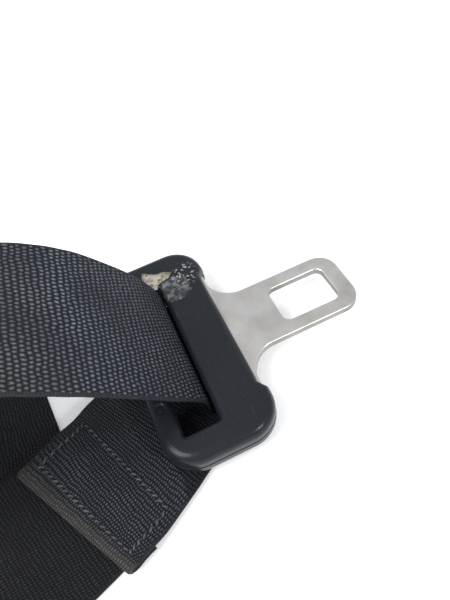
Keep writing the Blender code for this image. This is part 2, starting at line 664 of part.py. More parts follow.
# ---------------------------------------------------------------- lap line
def hook(line):
    """Make the snap hook: body, gate, pivot pin and return spring."""
    bar_x, bar_z = HOOK_BAR
    swing = empty("hook_swing", (bar_x, 0.0, bar_z), parent=line)
    half = HOOK_THICKNESS / 2
    eye = HOOK_EYE_X
    pivot_x, pivot_y = GATE_PIVOT
    band = (HOOK_OUTER - HOOK_INNER) / 2
    mouth = math.radians(MOUTH_START)
    nose_x = eye + (HOOK_INNER + band) * math.cos(mouth)
    nose_y = (HOOK_INNER + band) * math.sin(mouth)
    outline = end_tip() + opposite(end_tip()) + opposite(end_shoulder()) + [HOOK_FLANK]
    outline += arc(eye, 0, HOOK_OUTER, -110, MOUTH_START, 16)
    outline += arc(nose_x, nose_y, band, MOUTH_START + 30, MOUTH_START + 150, 4)
    outline += arc(eye, 0, HOOK_INNER, MOUTH_START, -175, 18)
    outline += arc(pivot_x, pivot_y, GATE_BOSS, -50, 80, 7) + [HOOK_HUMP] + end_shoulder()
    body = add("hook_body", prism(outline, -half, half), BARE_STEEL, swing)
    cut(body, prism(rounded_box(*END_SLOT, END_SLOT_CORNER), -half - 1, half + 1))
    cut(body, moved(prism(circle(PIN_RADIUS + GAP), -half - 1, half + 1), pivot_x, pivot_y, 0))
    bevel(body, 0.5, 2)

    hinge = empty("gate_hinge", (pivot_x, pivot_y, 0.0), parent=swing)
    top = half + GAP + GATE_SHEET
    length = nose_x - band - pivot_x - 0.6
    cheek = arc(0, 0, GATE_BOSS, 75, 270, 8) + arc(length - 2.0, 2.6, 2.0, -60, 90, 5)
    gate = add("hook_gate", prism(cheek, -top, top), BARE_STEEL, hinge)
    throat = [(-9.0, -9.0), (length + 3, -9.0), (length + 3, 3.3), (5.4, 3.3), (5.4, 9.0), (-9.0, 9.0)]
    cut(gate, prism(throat, -half - GAP, half + GAP))
    cut(gate, prism(circle(PIN_RADIUS + GAP), -top - 1, top + 1))

    head = PIN_HEAD_RADIUS
    inside = top + SPRING_ROOM
    pin = rod([(head, -top - 1.4), (head, -top - GAP), (PIN_RADIUS, -top - GAP + 0.05),
               (PIN_RADIUS, inside), (head, inside + 0.05), (head, inside + 1.0)])
    add("hook_gate_pin", pin, ZINC, swing, (pivot_x, pivot_y, 0.0))
    add("hook_gate_spring", gate_spring(top), DARK_STEEL, swing, (pivot_x, pivot_y, 0.0))


def gate_spring(low):
    """Return the torsion spring round the gate's pin, with its two legs, from a height up."""
    radius = PIN_RADIUS + GAP + SPRING_WIRE + 0.1
    base = low + GAP + SPRING_WIRE
    pitch = (SPRING_ROOM - 2 * GAP - 2 * SPRING_WIRE) / SPRING_TURNS
    leg = ((12.0, radius - 1.0), (6.0, radius - 0.4), (2.0, radius))
    line = [Vector((x, y, base)) for x, y in leg]
    for step in range(round(SPRING_TURNS * SPRING_STEPS) + 1):
        turn = step / SPRING_STEPS
        angle = math.radians(90 + 360 * turn)
        line.append(Vector((radius * math.cos(angle), radius * math.sin(angle), base + pitch * turn)))
    last = line[-1]
    line += [last + Vector((0.0, -3.0, 0.0)), last + Vector((0.0, -6.0, 0.0))]
    rings = []
    for i, point in enumerate(line):
        along = (line[min(i + 1, len(line) - 1)] - line[max(i - 1, 0)]).normalized()
        side = along.cross(Vector((0, 0, 1))).normalized()
        rise = side.cross(along)
        rings.append([point + side * x + rise * y for x, y in circle(SPRING_WIRE, 6)])
    shape = skin(rings)
    bmesh.ops.triangulate(shape, faces=shape.faces)
    return shape


def lap_run():
    """Make the run from the junction to the hook."""
    x, y, yaw = LAP_LINE
    line = empty("lap_line", (x, y, SURFACE_Z), yaw)
    strands, radius, roll_z = coil(LAP_ROLL_X, LAP_ROLL_TURNS)
    on_tail = SECOND_LAYER - LAP_TILT + 0.15
    start = [flat_station(-20.0, on_tail, -LAP_TILT), flat_station(0.0, on_tail, -LAP_TILT),
             flat_station(27.0, on_tail, -LAP_TILT), flat_station(38.0, 1.3, -LAP_TILT / 2),
             flat_station(48.0, 0.8), flat_station(56.0, FIRST_LAYER)]
    leave = LAP_ROLL_X + radius
    bar_x, bar_z = HOOK_BAR
    end = [(leave + 4.5, 11.0), (leave + 8.5, 6.4), (bar_x - 34, 3.6), (bar_x - 29, 2.6), (bar_x - 23, 2.4),
           (bar_x - 17, 2.4), (bar_x - 11, 3.3), (bar_x - 6.2, 6.6)]
    end += arc(bar_x, bar_z, LOOP_RADIUS, 125, -90, 9)
    end += [(bar_x - 6, 1.1), (bar_x - 11, 0.8), (bar_x - 17, FIRST_LAYER), (bar_x - 25, FIRST_LAYER)]
    route = rolled_route(start, strands, end)
    add("lap_webbing", strap(route), WEBBING, line)
    sewn = seam(route, (bar_x - 26.0, 0, 2.5), (bar_x - 13.5, 0, 2.8))
    add("lap_hook_stitching", sewn, THREAD, line)
    storage_tie("lap_tie", line, LAP_ROLL_X, roll_z, radius)
    hook(line)


clear_scene()
tongue()
tongue_webbing()
shoulder_run()
lap_run()
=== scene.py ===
"""Looks of the racing harness: latch tongue, woven webbing, adjuster, anchor and snap hook.

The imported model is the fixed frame. Each sub-assembly is a class that holds its sizes in
millimetres, builds its visible meshes in that frame and dresses them in a finish.
"""
from __future__ import annotations

import json
import logging
import math
from collections.abc import Callable
from dataclasses import dataclass
from enum import Enum

import bmesh
import bpy
from mathutils import Matrix, Vector, noise

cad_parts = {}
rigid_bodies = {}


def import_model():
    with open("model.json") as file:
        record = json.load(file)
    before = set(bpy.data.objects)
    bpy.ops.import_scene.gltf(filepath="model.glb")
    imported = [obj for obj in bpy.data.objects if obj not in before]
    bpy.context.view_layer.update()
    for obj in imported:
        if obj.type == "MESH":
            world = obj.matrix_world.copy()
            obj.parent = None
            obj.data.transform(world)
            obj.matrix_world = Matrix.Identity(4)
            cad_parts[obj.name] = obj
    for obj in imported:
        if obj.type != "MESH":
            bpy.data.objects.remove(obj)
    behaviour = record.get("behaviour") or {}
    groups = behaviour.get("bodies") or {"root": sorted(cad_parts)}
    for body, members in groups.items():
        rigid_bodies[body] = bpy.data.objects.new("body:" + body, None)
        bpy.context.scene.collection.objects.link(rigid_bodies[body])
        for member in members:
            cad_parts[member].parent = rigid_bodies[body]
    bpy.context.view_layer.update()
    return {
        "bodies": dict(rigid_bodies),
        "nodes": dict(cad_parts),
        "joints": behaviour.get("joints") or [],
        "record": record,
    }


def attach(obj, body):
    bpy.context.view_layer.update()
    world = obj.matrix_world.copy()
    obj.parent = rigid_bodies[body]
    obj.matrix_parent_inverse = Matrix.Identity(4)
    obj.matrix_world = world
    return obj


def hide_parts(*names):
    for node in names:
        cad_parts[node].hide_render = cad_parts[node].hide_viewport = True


LOG = logging.getLogger("harness")
MM = 0.001
SURFACE_Z = -10.1          # the surface that the harness lies on
FIRST_LAYER = 0.75         # middle of webbing that lies on the surface
SECOND_LAYER = 2.35        # middle of webbing that lies on one other layer
GAP = 0.3                  # clearance between neighbouring pieces
WEB_HALF = 24.0
Point = tuple[float, float]
Socket = bpy.types.NodeSocket
Mask = Callable[[float, Vector], float]


# ------------------------------------------------------------------------------ finishes
class Slot(Enum):
    """The record's material slots."""

    TONGUE_STEEL = "tongue_steel"
    COVER_PLASTIC = "cover_plastic"
    WEBBING = "webbing"
    THREAD = "thread"
    FITTING_STEEL = "fitting_steel"
    TIE_RUBBER = "tie_rubber"


def linear(code: str) -> tuple[float, float, float, float]:
    """Turn an sRGB hex value into a linear colour.

    Args:
        code: six hex digits.

    Returns:
        The linear red, green and blue, and an alpha of 1.
    """
    parts = [int(code[i:i + 2], 16) / 255 for i in (0, 2, 4)]
    levels = [c / 12.92 if c <= 0.04045 else ((c + 0.055) / 1.055) ** 2.4 for c in parts]
    return (levels[0], levels[1], levels[2], 1.0)


class Drawing:
    """A material's node tree while a finish is drawn up."""

    def __init__(self, name: str) -> None:
        """Start a material.

        Args:
            name: what the material is called.
        """
        self.material = bpy.data.materials.new(name)
        self.material.use_nodes = True
        self.tree = self.material.node_tree
        self.shader = self.tree.nodes["Principled BSDF"]
        self.place = self.add("TexCoord", out="Object")

    def add(self, kind: str, inputs: tuple | dict = (), out: int | str = 0, **settings) -> Socket:
        """Add a node with its settings and links.

        Args:
            kind: the node's type without its ShaderNode prefix.
            inputs: values or other nodes' outputs, in the order of the sockets or by socket.
            out: which output to return.
            settings: attributes of the node.

        Returns:
            The chosen output.
        """
        item = self.tree.nodes.new("ShaderNode" + kind)
        for key, value in settings.items():
            setattr(item, key, value)
        pairs = inputs.items() if isinstance(inputs, dict) else enumerate(inputs)
        for key, value in pairs:
            if isinstance(value, Socket):
                self.tree.links.new(value, item.inputs[key])
            elif value is not None:
                item.inputs[key].default_value = value
        return item.outputs[out]

    def finish(self, colour: Socket, rough: Socket | float, height: Socket, depth_mm: float,
               **sockets: float) -> bpy.types.Material:
        """Link the drawing to the shader.

        Args:
            colour: the base colour.
            rough: the roughness, as one value or a pattern.
            height: the relief.
            depth_mm: how deep the relief is.
            sockets: values for the shader's own sockets, with _ for each space of their names.

        Returns:
            The finished material.
        """
        self.tree.links.new(colour, self.shader.inputs["Base Color"])
        if isinstance(rough, Socket):
            self.tree.links.new(rough, self.shader.inputs["Roughness"])
        else:
            self.shader.inputs["Roughness"].default_value = rough
        normal = self.add("Bump", {"Height": height, "Distance": depth_mm * MM, "Strength": 1.0})
        self.tree.links.new(normal, self.shader.inputs["Normal"])
        for key, value in sockets.items():
            self.shader.inputs[key.replace("_", " ")].default_value = value
        return self.material


@dataclass(frozen=True)
class PolyesterWebbing:
    """Polyester webbing coloured in the melt: one face shows staggered floats of thick yarn, the other a
    finer twill. Each float is painted as a small dome, lit on top with a painted highlight and in painted
    shade in the hollows round it; the selvedge is fine, its ribs painted half lit and so greyer; and
    handling turns it brown and dull.
    """

    # painted light: hollow is the painted shade in the weave's hollows and the tone of the shade mask,
    # yarn the floats' lit colour, glint a painted highlight on their tops
    hollow: str = "0b0c0f"
    yarn: str = "3d424c"
    glint: str = "7f8692"
    # the brown of dirt, lit on the floats and in painted shade in the hollows like the clean weave
    soiled: str = "4b4743"
    soiled_shade: str = "131211"
    worn: str = "7a746a"
    face_yarn_mm: float = 1.3       # floats side by side across the face
    face_float_mm: float = 1.75     # one float and its hollow along the face
    face_stagger: float = 0.5
    back_yarn_mm: float = 0.9
    back_float_mm: float = 1.15
    back_stagger: float = 0.33
    stray_mm: tuple = (0.8, 1.6, 0.0)      # how far the floats stray across and along
    strays_per_mm: float = 0.3             # over some 3 mm
    fibres_per_mm: tuple = (7.0, 0.8, 1.0)  # coarser than real ones, so that they show
    patches_per_m: float = 70.0            # 14 mm patches of wear
    selvedge_mm: float = 22.9
    selvedge_rib_mm: float = 0.8

    def floats(self, drawing: Drawing, axes: bpy.types.NodeOutputs, yarn: float, length: float,
               stagger: float) -> Socket:
        """Return the relief of rows of floats that run across the webbing.

        Args:
            drawing: the material's drawing.
            axes: the place across and along the webbing, in millimetres.
            yarn: millimetres from one float to the next across the webbing.
            length: millimetres from one row to the next along it.
            stagger: the share of a yarn that each row is shifted from the one before.

        Returns:
            The relief, from 0 in the hollows to 1 on the floats.
        """
        row = drawing.add("Math", (axes[1], length), operation="DIVIDE")
        index = drawing.add("Math", (row,), operation="FLOOR")
        lane = drawing.add("Math", (axes[0], yarn), operation="DIVIDE")
        lane = drawing.add("Math", (index, stagger, lane), operation="MULTIPLY_ADD")
        sides = []
        for value, bulge in ((row, 0.8), (lane, 0.9)):
            turn = drawing.add("Math", (value,), operation="FRACT")
            turn = drawing.add("Math", (turn, math.pi), operation="MULTIPLY")
            turn = drawing.add("Math", (turn,), operation="SINE")
            sides.append(drawing.add("Math", (turn, bulge), operation="POWER"))
        return drawing.add("Math", tuple(sides), operation="MULTIPLY")

    def weave(self, drawing: Drawing, uv: Socket) -> Socket:
        """Draw both faces' floats and the ribbed selvedge.

        Args:
            drawing: the material's drawing.
            uv: the place across and along the webbing, in millimetres.

        Returns:
            The relief, from 0 in the hollows to 1 on the floats.
        """
        add = drawing.add
        drift = add("TexNoise", {"Vector": uv, "Scale": self.strays_per_mm, "Detail": 1.0}, out=1)
        drift = add("VectorMath", (drift, (0.5, 0.5, 0.5)), operation="SUBTRACT")
        uneven = add("VectorMath", (drift, self.stray_mm, uv), operation="MULTIPLY_ADD")
        axes = add("SeparateXYZ", (uneven,)).node.outputs
        face = self.floats(drawing, axes, self.face_yarn_mm, self.face_float_mm, self.face_stagger)
        back = self.floats(drawing, axes, self.back_yarn_mm, self.back_float_mm, self.back_stagger)
        side = add("Attribute", out=2, attribute_name="back")
        dome = add("Mix", {0: side, 2: face, 3: back}, data_type="FLOAT")
        across = add("SeparateXYZ", (uv,))
        across = add("Math", (across,), operation="ABSOLUTE")
        limits = (across, self.selvedge_mm, self.selvedge_mm + 0.5)
        selvedge = add("MapRange", limits, interpolation_type="SMOOTHSTEP")
        rib = add("Math", (axes[1], 2 * math.pi / self.selvedge_rib_mm), operation="MULTIPLY")
        rib = add("Math", (rib,), operation="SINE")
        rib = add("Math", (rib, 0.12, 0.36), operation="MULTIPLY_ADD")
        return add("Mix", {0: selvedge, 2: dome, 3: rib}, data_type="FLOAT")

    def build(self) -> bpy.types.Material:
        """Paint the weave's floats lit and its hollows in painted shade, with a painted highlight on the
        float tops, and then its soil, rubbing and painted shade.

        Returns:
            The material.
        """
        drawing = Drawing("woven polyester webbing")
        add = drawing.add
        uv = add("UVMap")
        relief = self.weave(drawing, uv)
        hairs = add("Mapping", {"Vector": uv, "Scale": self.fibres_per_mm})
        fibre = add("TexNoise", {"Vector": hairs, "Scale": 1.0, "Detail": 4.0})
        cloud = add("TexNoise", {"Vector": drawing.place, "Scale": self.patches_per_m, "Detail": 3.0})
        gloss = add("Math", (fibre, 1.5, 0.2), operation="MULTIPLY_ADD")
        patchy = add("Math", (cloud, 0.9, 0.5), operation="MULTIPLY_ADD")
        lit = add("Math", (relief, gloss), operation="MULTIPLY")
        peak = add("Math", (lit, patchy), operation="MULTIPLY")
        peak = add("MapRange", (peak, 0.55, 1.15))
        # painted light and shade: lit float tops take the yarn colour, the hollows the painted shade
        lit_and_shaded = {0: lit, 6: linear(self.hollow), 7: linear(self.yarn)}
        colour = add("Mix", lit_and_shaded, out=2, data_type="RGBA")
        # the same painted light and shade over the brown of dirt
        dirt_and_shade = {0: lit, 6: linear(self.soiled_shade), 7: linear(self.soiled)}
        dull = add("Mix", dirt_and_shade, out=2, data_type="RGBA")
        # painted highlight: the glint colour on the brightest float tops
        layers = [(peak, linear(self.glint))]
        for name, tone, spread in (("soil", dull, patchy), ("rub", linear(self.worn), gloss),
                                   ("shade", linear(self.hollow), 1.0)):
            mask = add("Attribute", out=2, attribute_name=name)
            mask = add("Math", (mask, spread), operation="MULTIPLY", use_clamp=True)
            layers.append((mask, tone))
        for mask, tone in layers:
            colour = add("Mix", {0: mask, 6: colour, 7: tone}, out=2, data_type="RGBA")
        height = add("Math", (fibre, 0.4, relief), operation="MULTIPLY_ADD")
        return drawing.finish(colour, 0.6, height, 0.35, Specular_IOR_Level=0.16)


@dataclass(frozen=True)
class MouldedNylon:
    """Moulded glass-filled nylon: nearly black and satin, with a fine moulding grain, long scuffs,
    and chalky nicks and a dull smear beside the broken corner.
    """

    colour: str = "191c20"
    cool: str = "1f2227"
    scuff: str = "4b4e55"
    chalk: str = "a9aaa8"
    smear: str = "7f8284"
    grain_mm: float = 0.4
    patches_per_m: float = 45.0                     # 22 mm patches, cooler and duller
    scuffs_per_m: tuple = (1500.0, 230.0, 600.0)    # 4 mm long, under 1 mm wide
    nicks_per_m: float = 820.0                      # 1.2 mm
    nicks_mm: tuple = (-14.6, 26.6, 3.8)
    nicks_reach_mm: tuple = (2.0, 7.0)              # all there inside the first, gone at the second
    smear_mm: tuple = (-18.8, 21.6, 4.0)
    smear_reach_mm: tuple = (7.9, 8.6)
    smear_ragged_mm: float = 6.0
    smear_edge_per_m: float = 330.0                 # its edge breaks up every 3 mm
    crazing_per_m: float = 540.0                    # 2 mm patches inside it

    def away(self, drawing: Drawing, centre: tuple) -> Socket:
        """Return the distance in metres from a centre in millimetres."""
        middle = tuple(value * MM for value in centre)
        return drawing.add("VectorMath", (drawing.place, middle), out=1, operation="DISTANCE")

    def nicks(self, drawing: Drawing) -> Socket:
        """Draw the chalky nicks.

        Args:
            drawing: the material's drawing.

        Returns:
            Their mask.
        """
        full, reach = self.nicks_reach_mm
        fleck = {"Vector": drawing.place, "Scale": self.nicks_per_m, "Detail": 5.0}
        flecks = drawing.add("TexNoise", fleck)
        flecks = drawing.add("MapRange", (flecks, 0.555, 0.60))
        near = (self.away(drawing, self.nicks_mm), reach * MM, full * MM)
        near = drawing.add("MapRange", near, interpolation_type="SMOOTHSTEP")
        return drawing.add("Math", (flecks, near), operation="MULTIPLY")

    def smeared(self, drawing: Drawing) -> Socket:
        """Draw the dull smear, ragged at its edge and crazed inside.

        Args:
            drawing: the material's drawing.

        Returns:
            Its mask.
        """
        full, reach = self.smear_reach_mm
        edge = {"Vector": drawing.place, "Scale": self.smear_edge_per_m, "Detail": 5.0}
        torn = drawing.add("TexNoise", edge)
        away = (torn, self.smear_ragged_mm * MM, self.away(drawing, self.smear_mm))
        away = drawing.add("Math", away, operation="MULTIPLY_ADD")
        inside = drawing.add("MapRange", (away, reach * MM, full * MM))
        crazing = {"Vector": drawing.place, "Scale": self.crazing_per_m, "Detail": 7.0}
        crazed = drawing.add("TexNoise", crazing)
        crazed = drawing.add("MapRange", (crazed, 0.45, 0.68, 0.12, 1.0))
        return drawing.add("Math", (inside, crazed), operation="MULTIPLY")

    def build(self) -> bpy.types.Material:
        """Draw the moulding and lay its damage over it.

        Returns:
            The material.
        """
        drawing = Drawing("moulded black nylon")
        add = drawing.add
        grain = add("TexNoise", {"Vector": drawing.place, "Scale": 1 / (self.grain_mm * MM)})
        cloud = add("TexNoise", {"Vector": drawing.place, "Scale": self.patches_per_m, "Detail": 3.0})
        along = add("Mapping", {"Vector": drawing.place, "Scale": self.scuffs_per_m})
        streak = add("TexNoise", {"Vector": along, "Scale": 1.0, "Detail": 5.0})
        streak = add("MapRange", (streak, 0.62, 1.3))
        chalk = self.nicks(drawing)
        smear = self.smeared(drawing)
        layers = [(cloud, self.cool), (streak, self.scuff)]
        for mask, tone, share in ((smear, self.smear, 0.8), (chalk, self.chalk, 0.85)):
            layers.append((add("Math", (mask, share), operation="MULTIPLY", use_clamp=True), tone))
        colour: Socket | tuple = linear(self.colour)
        for mask, tone in layers:
            colour = add("Mix", {0: mask, 6: colour, 7: linear(tone)}, out=2, data_type="RGBA")
        damage = add("Math", (chalk, smear), operation="ADD")
        rough = add("Math", (cloud, 0.12, 0.17), operation="MULTIPLY_ADD")
        rough = add("Math", (damage, 0.3, rough), operation="MULTIPLY_ADD")
        height = add("Math", (damage, 2.5, grain), operation="MULTIPLY_ADD")
        return drawing.finish(colour, rough, height, 0.045, IOR=1.5, Specular_IOR_Level=0.2)


@dataclass(frozen=True)
class TornNylon:
    """The face left where a flake of the moulding broke away: dry, pale, fibrous and dirty."""

    pale: str = "b0a99c"
    dirt: str = "776f64"
    crack: str = "2e2a25"
    lumps_per_m: float = 520.0      # 2 mm
    pits_per_m: float = 900.0       # 1 mm

    def build(self) -> bpy.types.Material:
        """Draw the dirt and the pits over the pale fibre.

        Returns:
            The material.
        """
        drawing = Drawing("torn nylon")
        add = drawing.add
        lumps = add("TexNoise", {"Vector": drawing.place, "Scale": self.lumps_per_m, "Detail": 5.0})
        pits = add("TexNoise", {"Vector": drawing.place, "Scale": self.pits_per_m, "Detail": 3.0})
        colour: Socket | tuple = linear(self.pale)
        for pattern, low, high, tone in ((lumps, 0.48, 0.66, self.dirt), (pits, 0.60, 0.66, self.crack)):
            mask = add("MapRange", (pattern, low, high))
            colour = add("Mix", {0: mask, 6: colour, 7: linear(tone)}, out=2, data_type="RGBA")
        return drawing.finish(colour, 0.85, lumps, 0.3, Specular_IOR_Level=0.2)


@dataclass(frozen=True)
class StampedSteel:
    """Stamped, tumbled stainless steel: satin and faintly warm, with a fine rolling grain that runs
    along the piece, smudges from handling and a few dark pits.
    """

    name: str = "tumbled stainless steel"
    colour: str = "d0cecb"
    smudge: str = "b6b2aa"
    pit: str = "6a665f"
    rough: float = 0.3
    grain_per_m: tuple = (110.0, 1300.0, 1300.0)    # 9 mm long and 0.8 mm wide, coarse enough to show
    smudges_per_m: float = 85.0                     # 12 mm
    pits_per_m: float = 1300.0                      # 0.8 mm

    def build(self) -> bpy.types.Material:
        """Draw the smudges and pits over the grain.

        Returns:
            The material.
        """
        drawing = Drawing(self.name)
        add = drawing.add
        grain = add("Mapping", {"Vector": drawing.place, "Scale": self.grain_per_m})
        grain = add("TexNoise", {"Vector": grain, "Scale": 1.0, "Detail": 6.0})
        cloud = add("TexNoise", {"Vector": drawing.place, "Scale": self.smudges_per_m, "Detail": 4.0})
        pits = add("TexNoise", {"Vector": drawing.place, "Scale": self.pits_per_m, "Detail": 2.0})
        colour: Socket | tuple = linear(self.colour)
        for pattern, low, high, tone in ((cloud, 0.40, 0.72, self.smudge), (pits, 0.70, 0.90, self.pit)):
            mask = add("MapRange", (pattern, low, high))
            colour = add("Mix", {0: mask, 6: colour, 7: linear(tone)}, out=2, data_type="RGBA")
        rough = add("Math", (cloud, 0.22, self.rough - 0.1), operation="MULTIPLY_ADD")
        rough = add("Math", (grain, 0.12, rough), operation="MULTIPLY_ADD")
        height = add("Math", (pits, 0.3, grain), operation="MULTIPLY_ADD")
        return drawing.finish(colour, rough, height, 0.012, Metallic=1.0)


@dataclass(frozen=True)
class PlatedSteel:
    """Steel under zinc plate or chemical blackening, whose tone shifts in patches.

    thread_mm cuts a screw thread round a piece that stands along Z, and knurl_mm a diamond knurl
    round a bar that lies along Y.
    """

    name: str
    colour: str
    patch: str
    rough: float = 0.32
    thread_mm: float = 0.0
    thread_from_mm: float = 0.0
    knurl_mm: float = 0.0
    patches_per_m: float = 280.0        # 4 mm
    crystals_per_m: float = 2500.0      # 0.4 mm

    def build(self) -> bpy.types.Material:
        """Draw the patches of plate, and the thread or the knurl.

        Returns:
            The material.
        """
        drawing = Drawing(self.name)
        add = drawing.add
        cloud = add("TexNoise", {"Vector": drawing.place, "Scale": self.patches_per_m, "Detail": 4.0})
        mask = add("MapRange", (cloud, 0.40, 0.70))
        plate = {0: mask, 6: linear(self.colour), 7: linear(self.patch)}
        colour = add("Mix", plate, out=2, data_type="RGBA")
        rough = add("Math", (cloud, 0.2, self.rough - 0.1), operation="MULTIPLY_ADD")
        axes = add("SeparateXYZ", (drawing.place,)).node.outputs
        height = add("TexNoise", {"Vector": drawing.place, "Scale": self.crystals_per_m})
        depth = 0.02
        if self.thread_mm:
            ridge = add("Math", (axes[2], 2 * math.pi / (self.thread_mm * MM)), operation="MULTIPLY")
            ridge = add("Math", (ridge,), operation="SINE")
            start = self.thread_from_mm * MM
            cut = add("MapRange", (axes[2], start, start + MM / 2))
            height = add("Math", (ridge, cut), operation="MULTIPLY")
            depth = 0.4
        if self.knurl_mm:
            turn = add("Math", (axes[0], axes[2]), operation="ADD")
            for way in (1.0, -1.0):
                ridge = add("Math", (axes[1], way, turn), operation="MULTIPLY_ADD")
                ridge = add("Math", (ridge, 2 * math.pi / (self.knurl_mm * MM)), operation="MULTIPLY")
                ridge = add("Math", (ridge,), operation="SINE")
                height = add("Math", (height, ridge), operation="MAXIMUM")
            depth = 0.25
        return drawing.finish(colour, rough, height, depth, Metallic=1.0)


@dataclass(frozen=True)
class DullFibre:
    """A dull piece of fibre, thread, rubber or moulded nylon, mottled at a fine scale.

    cord_mm raises cords that run along the piece, as in elastic band.
    """

    name: str
    colour: str
    pale: str
    mottle_mm: float = 0.5
    relief_mm: float = 0.06
    rough: float = 0.65
    cord_mm: float = 0.0
    patches_per_m: float = 160.0        # 6 mm

    def build(self) -> bpy.types.Material:
        """Draw the mottle, and the cords if there are any.

        Returns:
            The material.
        """
        drawing = Drawing(self.name)
        add = drawing.add
        fine = 1 / (self.mottle_mm * MM)
        mottle = add("TexNoise", {"Vector": drawing.place, "Scale": fine, "Detail": 4.0})
        cloud = add("TexNoise", {"Vector": drawing.place, "Scale": self.patches_per_m})
        mask = add("Math", (mottle, cloud), operation="ADD")
        mask = add("MapRange", (mask, 0.75, 1.25))
        tones = {0: mask, 6: linear(self.colour), 7: linear(self.pale)}
        colour = add("Mix", tones, out=2, data_type="RGBA")
        rough = add("Math", (cloud, 0.2, self.rough - 0.1), operation="MULTIPLY_ADD")
        height = mottle
        if self.cord_mm:
            across = add("SeparateXYZ", (add("UVMap"),))
            cords = add("Math", (across, 2 * math.pi / self.cord_mm), operation="MULTIPLY")
            cords = add("Math", (cords,), operation="SINE")
            height = add("Math", (mottle, 0.5, cords), operation="MULTIPLY_ADD")
        return drawing.finish(colour, rough, height, self.relief_mm, Specular_IOR_Level=0.3)


# ------------------------------------------------------------------------------ mesh tools
def arc(x: float, y: float, radius: float, start: float, end: float, steps: int = 12) -> list[Point]:
    """Return points of an arc, angles in degrees."""
    turns = [math.radians(start + (end - start) * i / steps) for i in range(steps + 1)]
    return [(x + radius * math.cos(a), y + radius * math.sin(a)) for a in turns]


def circle(radius: float, steps: int = 48) -> list[Point]:
    """Return the outline of a circle about zero."""
    return arc(0, 0, radius, 0, 360 - 360 / steps, steps - 1)


def rounded_box(x0: float, x1: float, y0: float, y1: float, radius: float,
                steps: int = 8) -> list[Point]:
    """Return the outline of a rectangle with round corners.

    Args:
        x0: its least X.
        x1: its greatest X.
        y0: its least Y.
        y1: its greatest Y.
        radius: the corners' radius.
        steps: straight pieces in each corner.

    Returns:
        The outline, anticlockwise from the lower right corner.
    """
    return (arc(x1 - radius, y0 + radius, radius, -90, 0, steps)
            + arc(x1 - radius, y1 - radius, radius, 0, 90, steps)
            + arc(x0 + radius, y1 - radius, radius, 90, 180, steps)
            + arc(x0 + radius, y0 + radius, radius, 180, 270, steps))


def mirrored(side: list[Point]) -> list[Point]:
    """Return a whole outline from its +Y half, which runs from the front to the rear."""
    return side + [(x, -y) for x, y in reversed(side)]


def skin(rings: list, closed: bool = False) -> bmesh.types.BMesh:
    """Join rings of points into a solid.

    Args:
        rings: lists of points with equal counts.
        closed: joins the last ring to the first in place of end caps.

    Returns:
        The closed shape.
    """
    shape = bmesh.new()
    loops = [[shape.verts.new(point) for point in ring] for ring in rings]
    pairs = list(zip(loops[:-1], loops[1:]))
    if closed:
        pairs.append((loops[-1], loops[0]))
    else:
        shape.faces.new(list(reversed(loops[0])))
        shape.faces.new(loops[-1])
    for here, after in pairs:
        for k in range(len(here)):
            nxt = (k + 1) % len(here)
            shape.faces.new((here[k], here[nxt], after[nxt], after[k]))
    return shape


def stack(levels: list[tuple[list[Point], float]]) -> bmesh.types.BMesh:
    """Return a solid through (outline, height) levels."""
    return skin([[(x, y, z) for x, y in outline] for outline, z in levels])


def prism(outline: list[Point], low: float, high: float) -> bmesh.types.BMesh:
    """Extrude a flat outline between two heights."""
    return stack([(outline, low), (outline, high)])


def laid(shape: bmesh.types.BMesh) -> bmesh.types.BMesh:
    """Lay a shape down, so that what ran along +Z runs along -Y and what ran along +Y is up."""
    bmesh.ops.rotate(shape, matrix=Matrix.Rotation(math.radians(90), 3, "X"), verts=shape.verts)
    return shape


def frame_of(line: tuple[float, float, float], height: float = 0.0) -> Matrix:
    """Return the matrix of a line's own frame: its place on the surface and its heading."""
    x, y, yaw = line
    return Matrix.Translation((x, y, SURFACE_Z + height)) @ Matrix.Rotation(math.radians(yaw), 4, "Z")


def mesh_object(name: str, shape: bmesh.types.BMesh,
                place: Matrix | None = None) -> bpy.types.Object:
    """Turn a shape in millimetres into an object in metres, in the part's frame.

    Args:
        name: the object's name.
        shape: the shape, which is used up.
        place: the frame that the shape is in.

    Returns:
        The object.
    """
    if place is not None:
        bmesh.ops.transform(shape, matrix=place, verts=shape.verts)
    bmesh.ops.scale(shape, vec=(MM, MM, MM), verts=shape.verts)
    bmesh.ops.recalc_face_normals(shape, faces=shape.faces)
    mesh = bpy.data.meshes.new(name)
    shape.to_mesh(mesh)
    shape.free()
    item = bpy.data.objects.new(name, mesh)
    bpy.context.scene.collection.objects.link(item)
    return item


def smooth(item: bpy.types.Object, angle: float = 38.0) -> None:
    """Shade a piece smooth, with its sharp edges kept."""
    item.data.shade_smooth()
    item.data.set_sharp_from_angle(angle=math.radians(angle))


def carve(item: bpy.types.Object, material: bpy.types.Material,
          shapes: list[tuple[str, bmesh.types.BMesh]], place: Matrix | None = None,
          edge: float = 0.0) -> None:
    """Cut or join shapes, round the edges and keep the result as the piece's mesh.

    Args:
        item: the piece.
        material: what the cut faces are made of.
        shapes: (operation, shape) pairs, the operation being DIFFERENCE or UNION.
        place: the frame that the shapes are in.
        edge: the radius that sharp edges get, in millimetres.
    """
    if not item.data.materials:
        item.data.materials.append(material)
    cutters = []
    for operation, shape in shapes:
        cutter = mesh_object(item.name + "_cutter", shape, place)
        cutter.data.materials.append(material)
        cutters.append(cutter)
        modifier = item.modifiers.new("cut", "BOOLEAN")
        modifier.object = cutter
        modifier.operation = operation
        modifier.solver = "EXACT"
        modifier.material_mode = "TRANSFER"
    if edge:
        modifier = item.modifiers.new("edge", "BEVEL")
        modifier.width = edge * MM
        modifier.segments = 3
        modifier.limit_method = "ANGLE"
        modifier.angle_limit = math.radians(40)
    bpy.context.view_layer.update()
    mesh = bpy.data.meshes.new_from_object(item.evaluated_get(bpy.context.evaluated_depsgraph_get()))
    item.modifiers.clear()
    item.data = mesh
    for cutter in cutters:
        bpy.data.objects.remove(cutter, do_unlink=True)


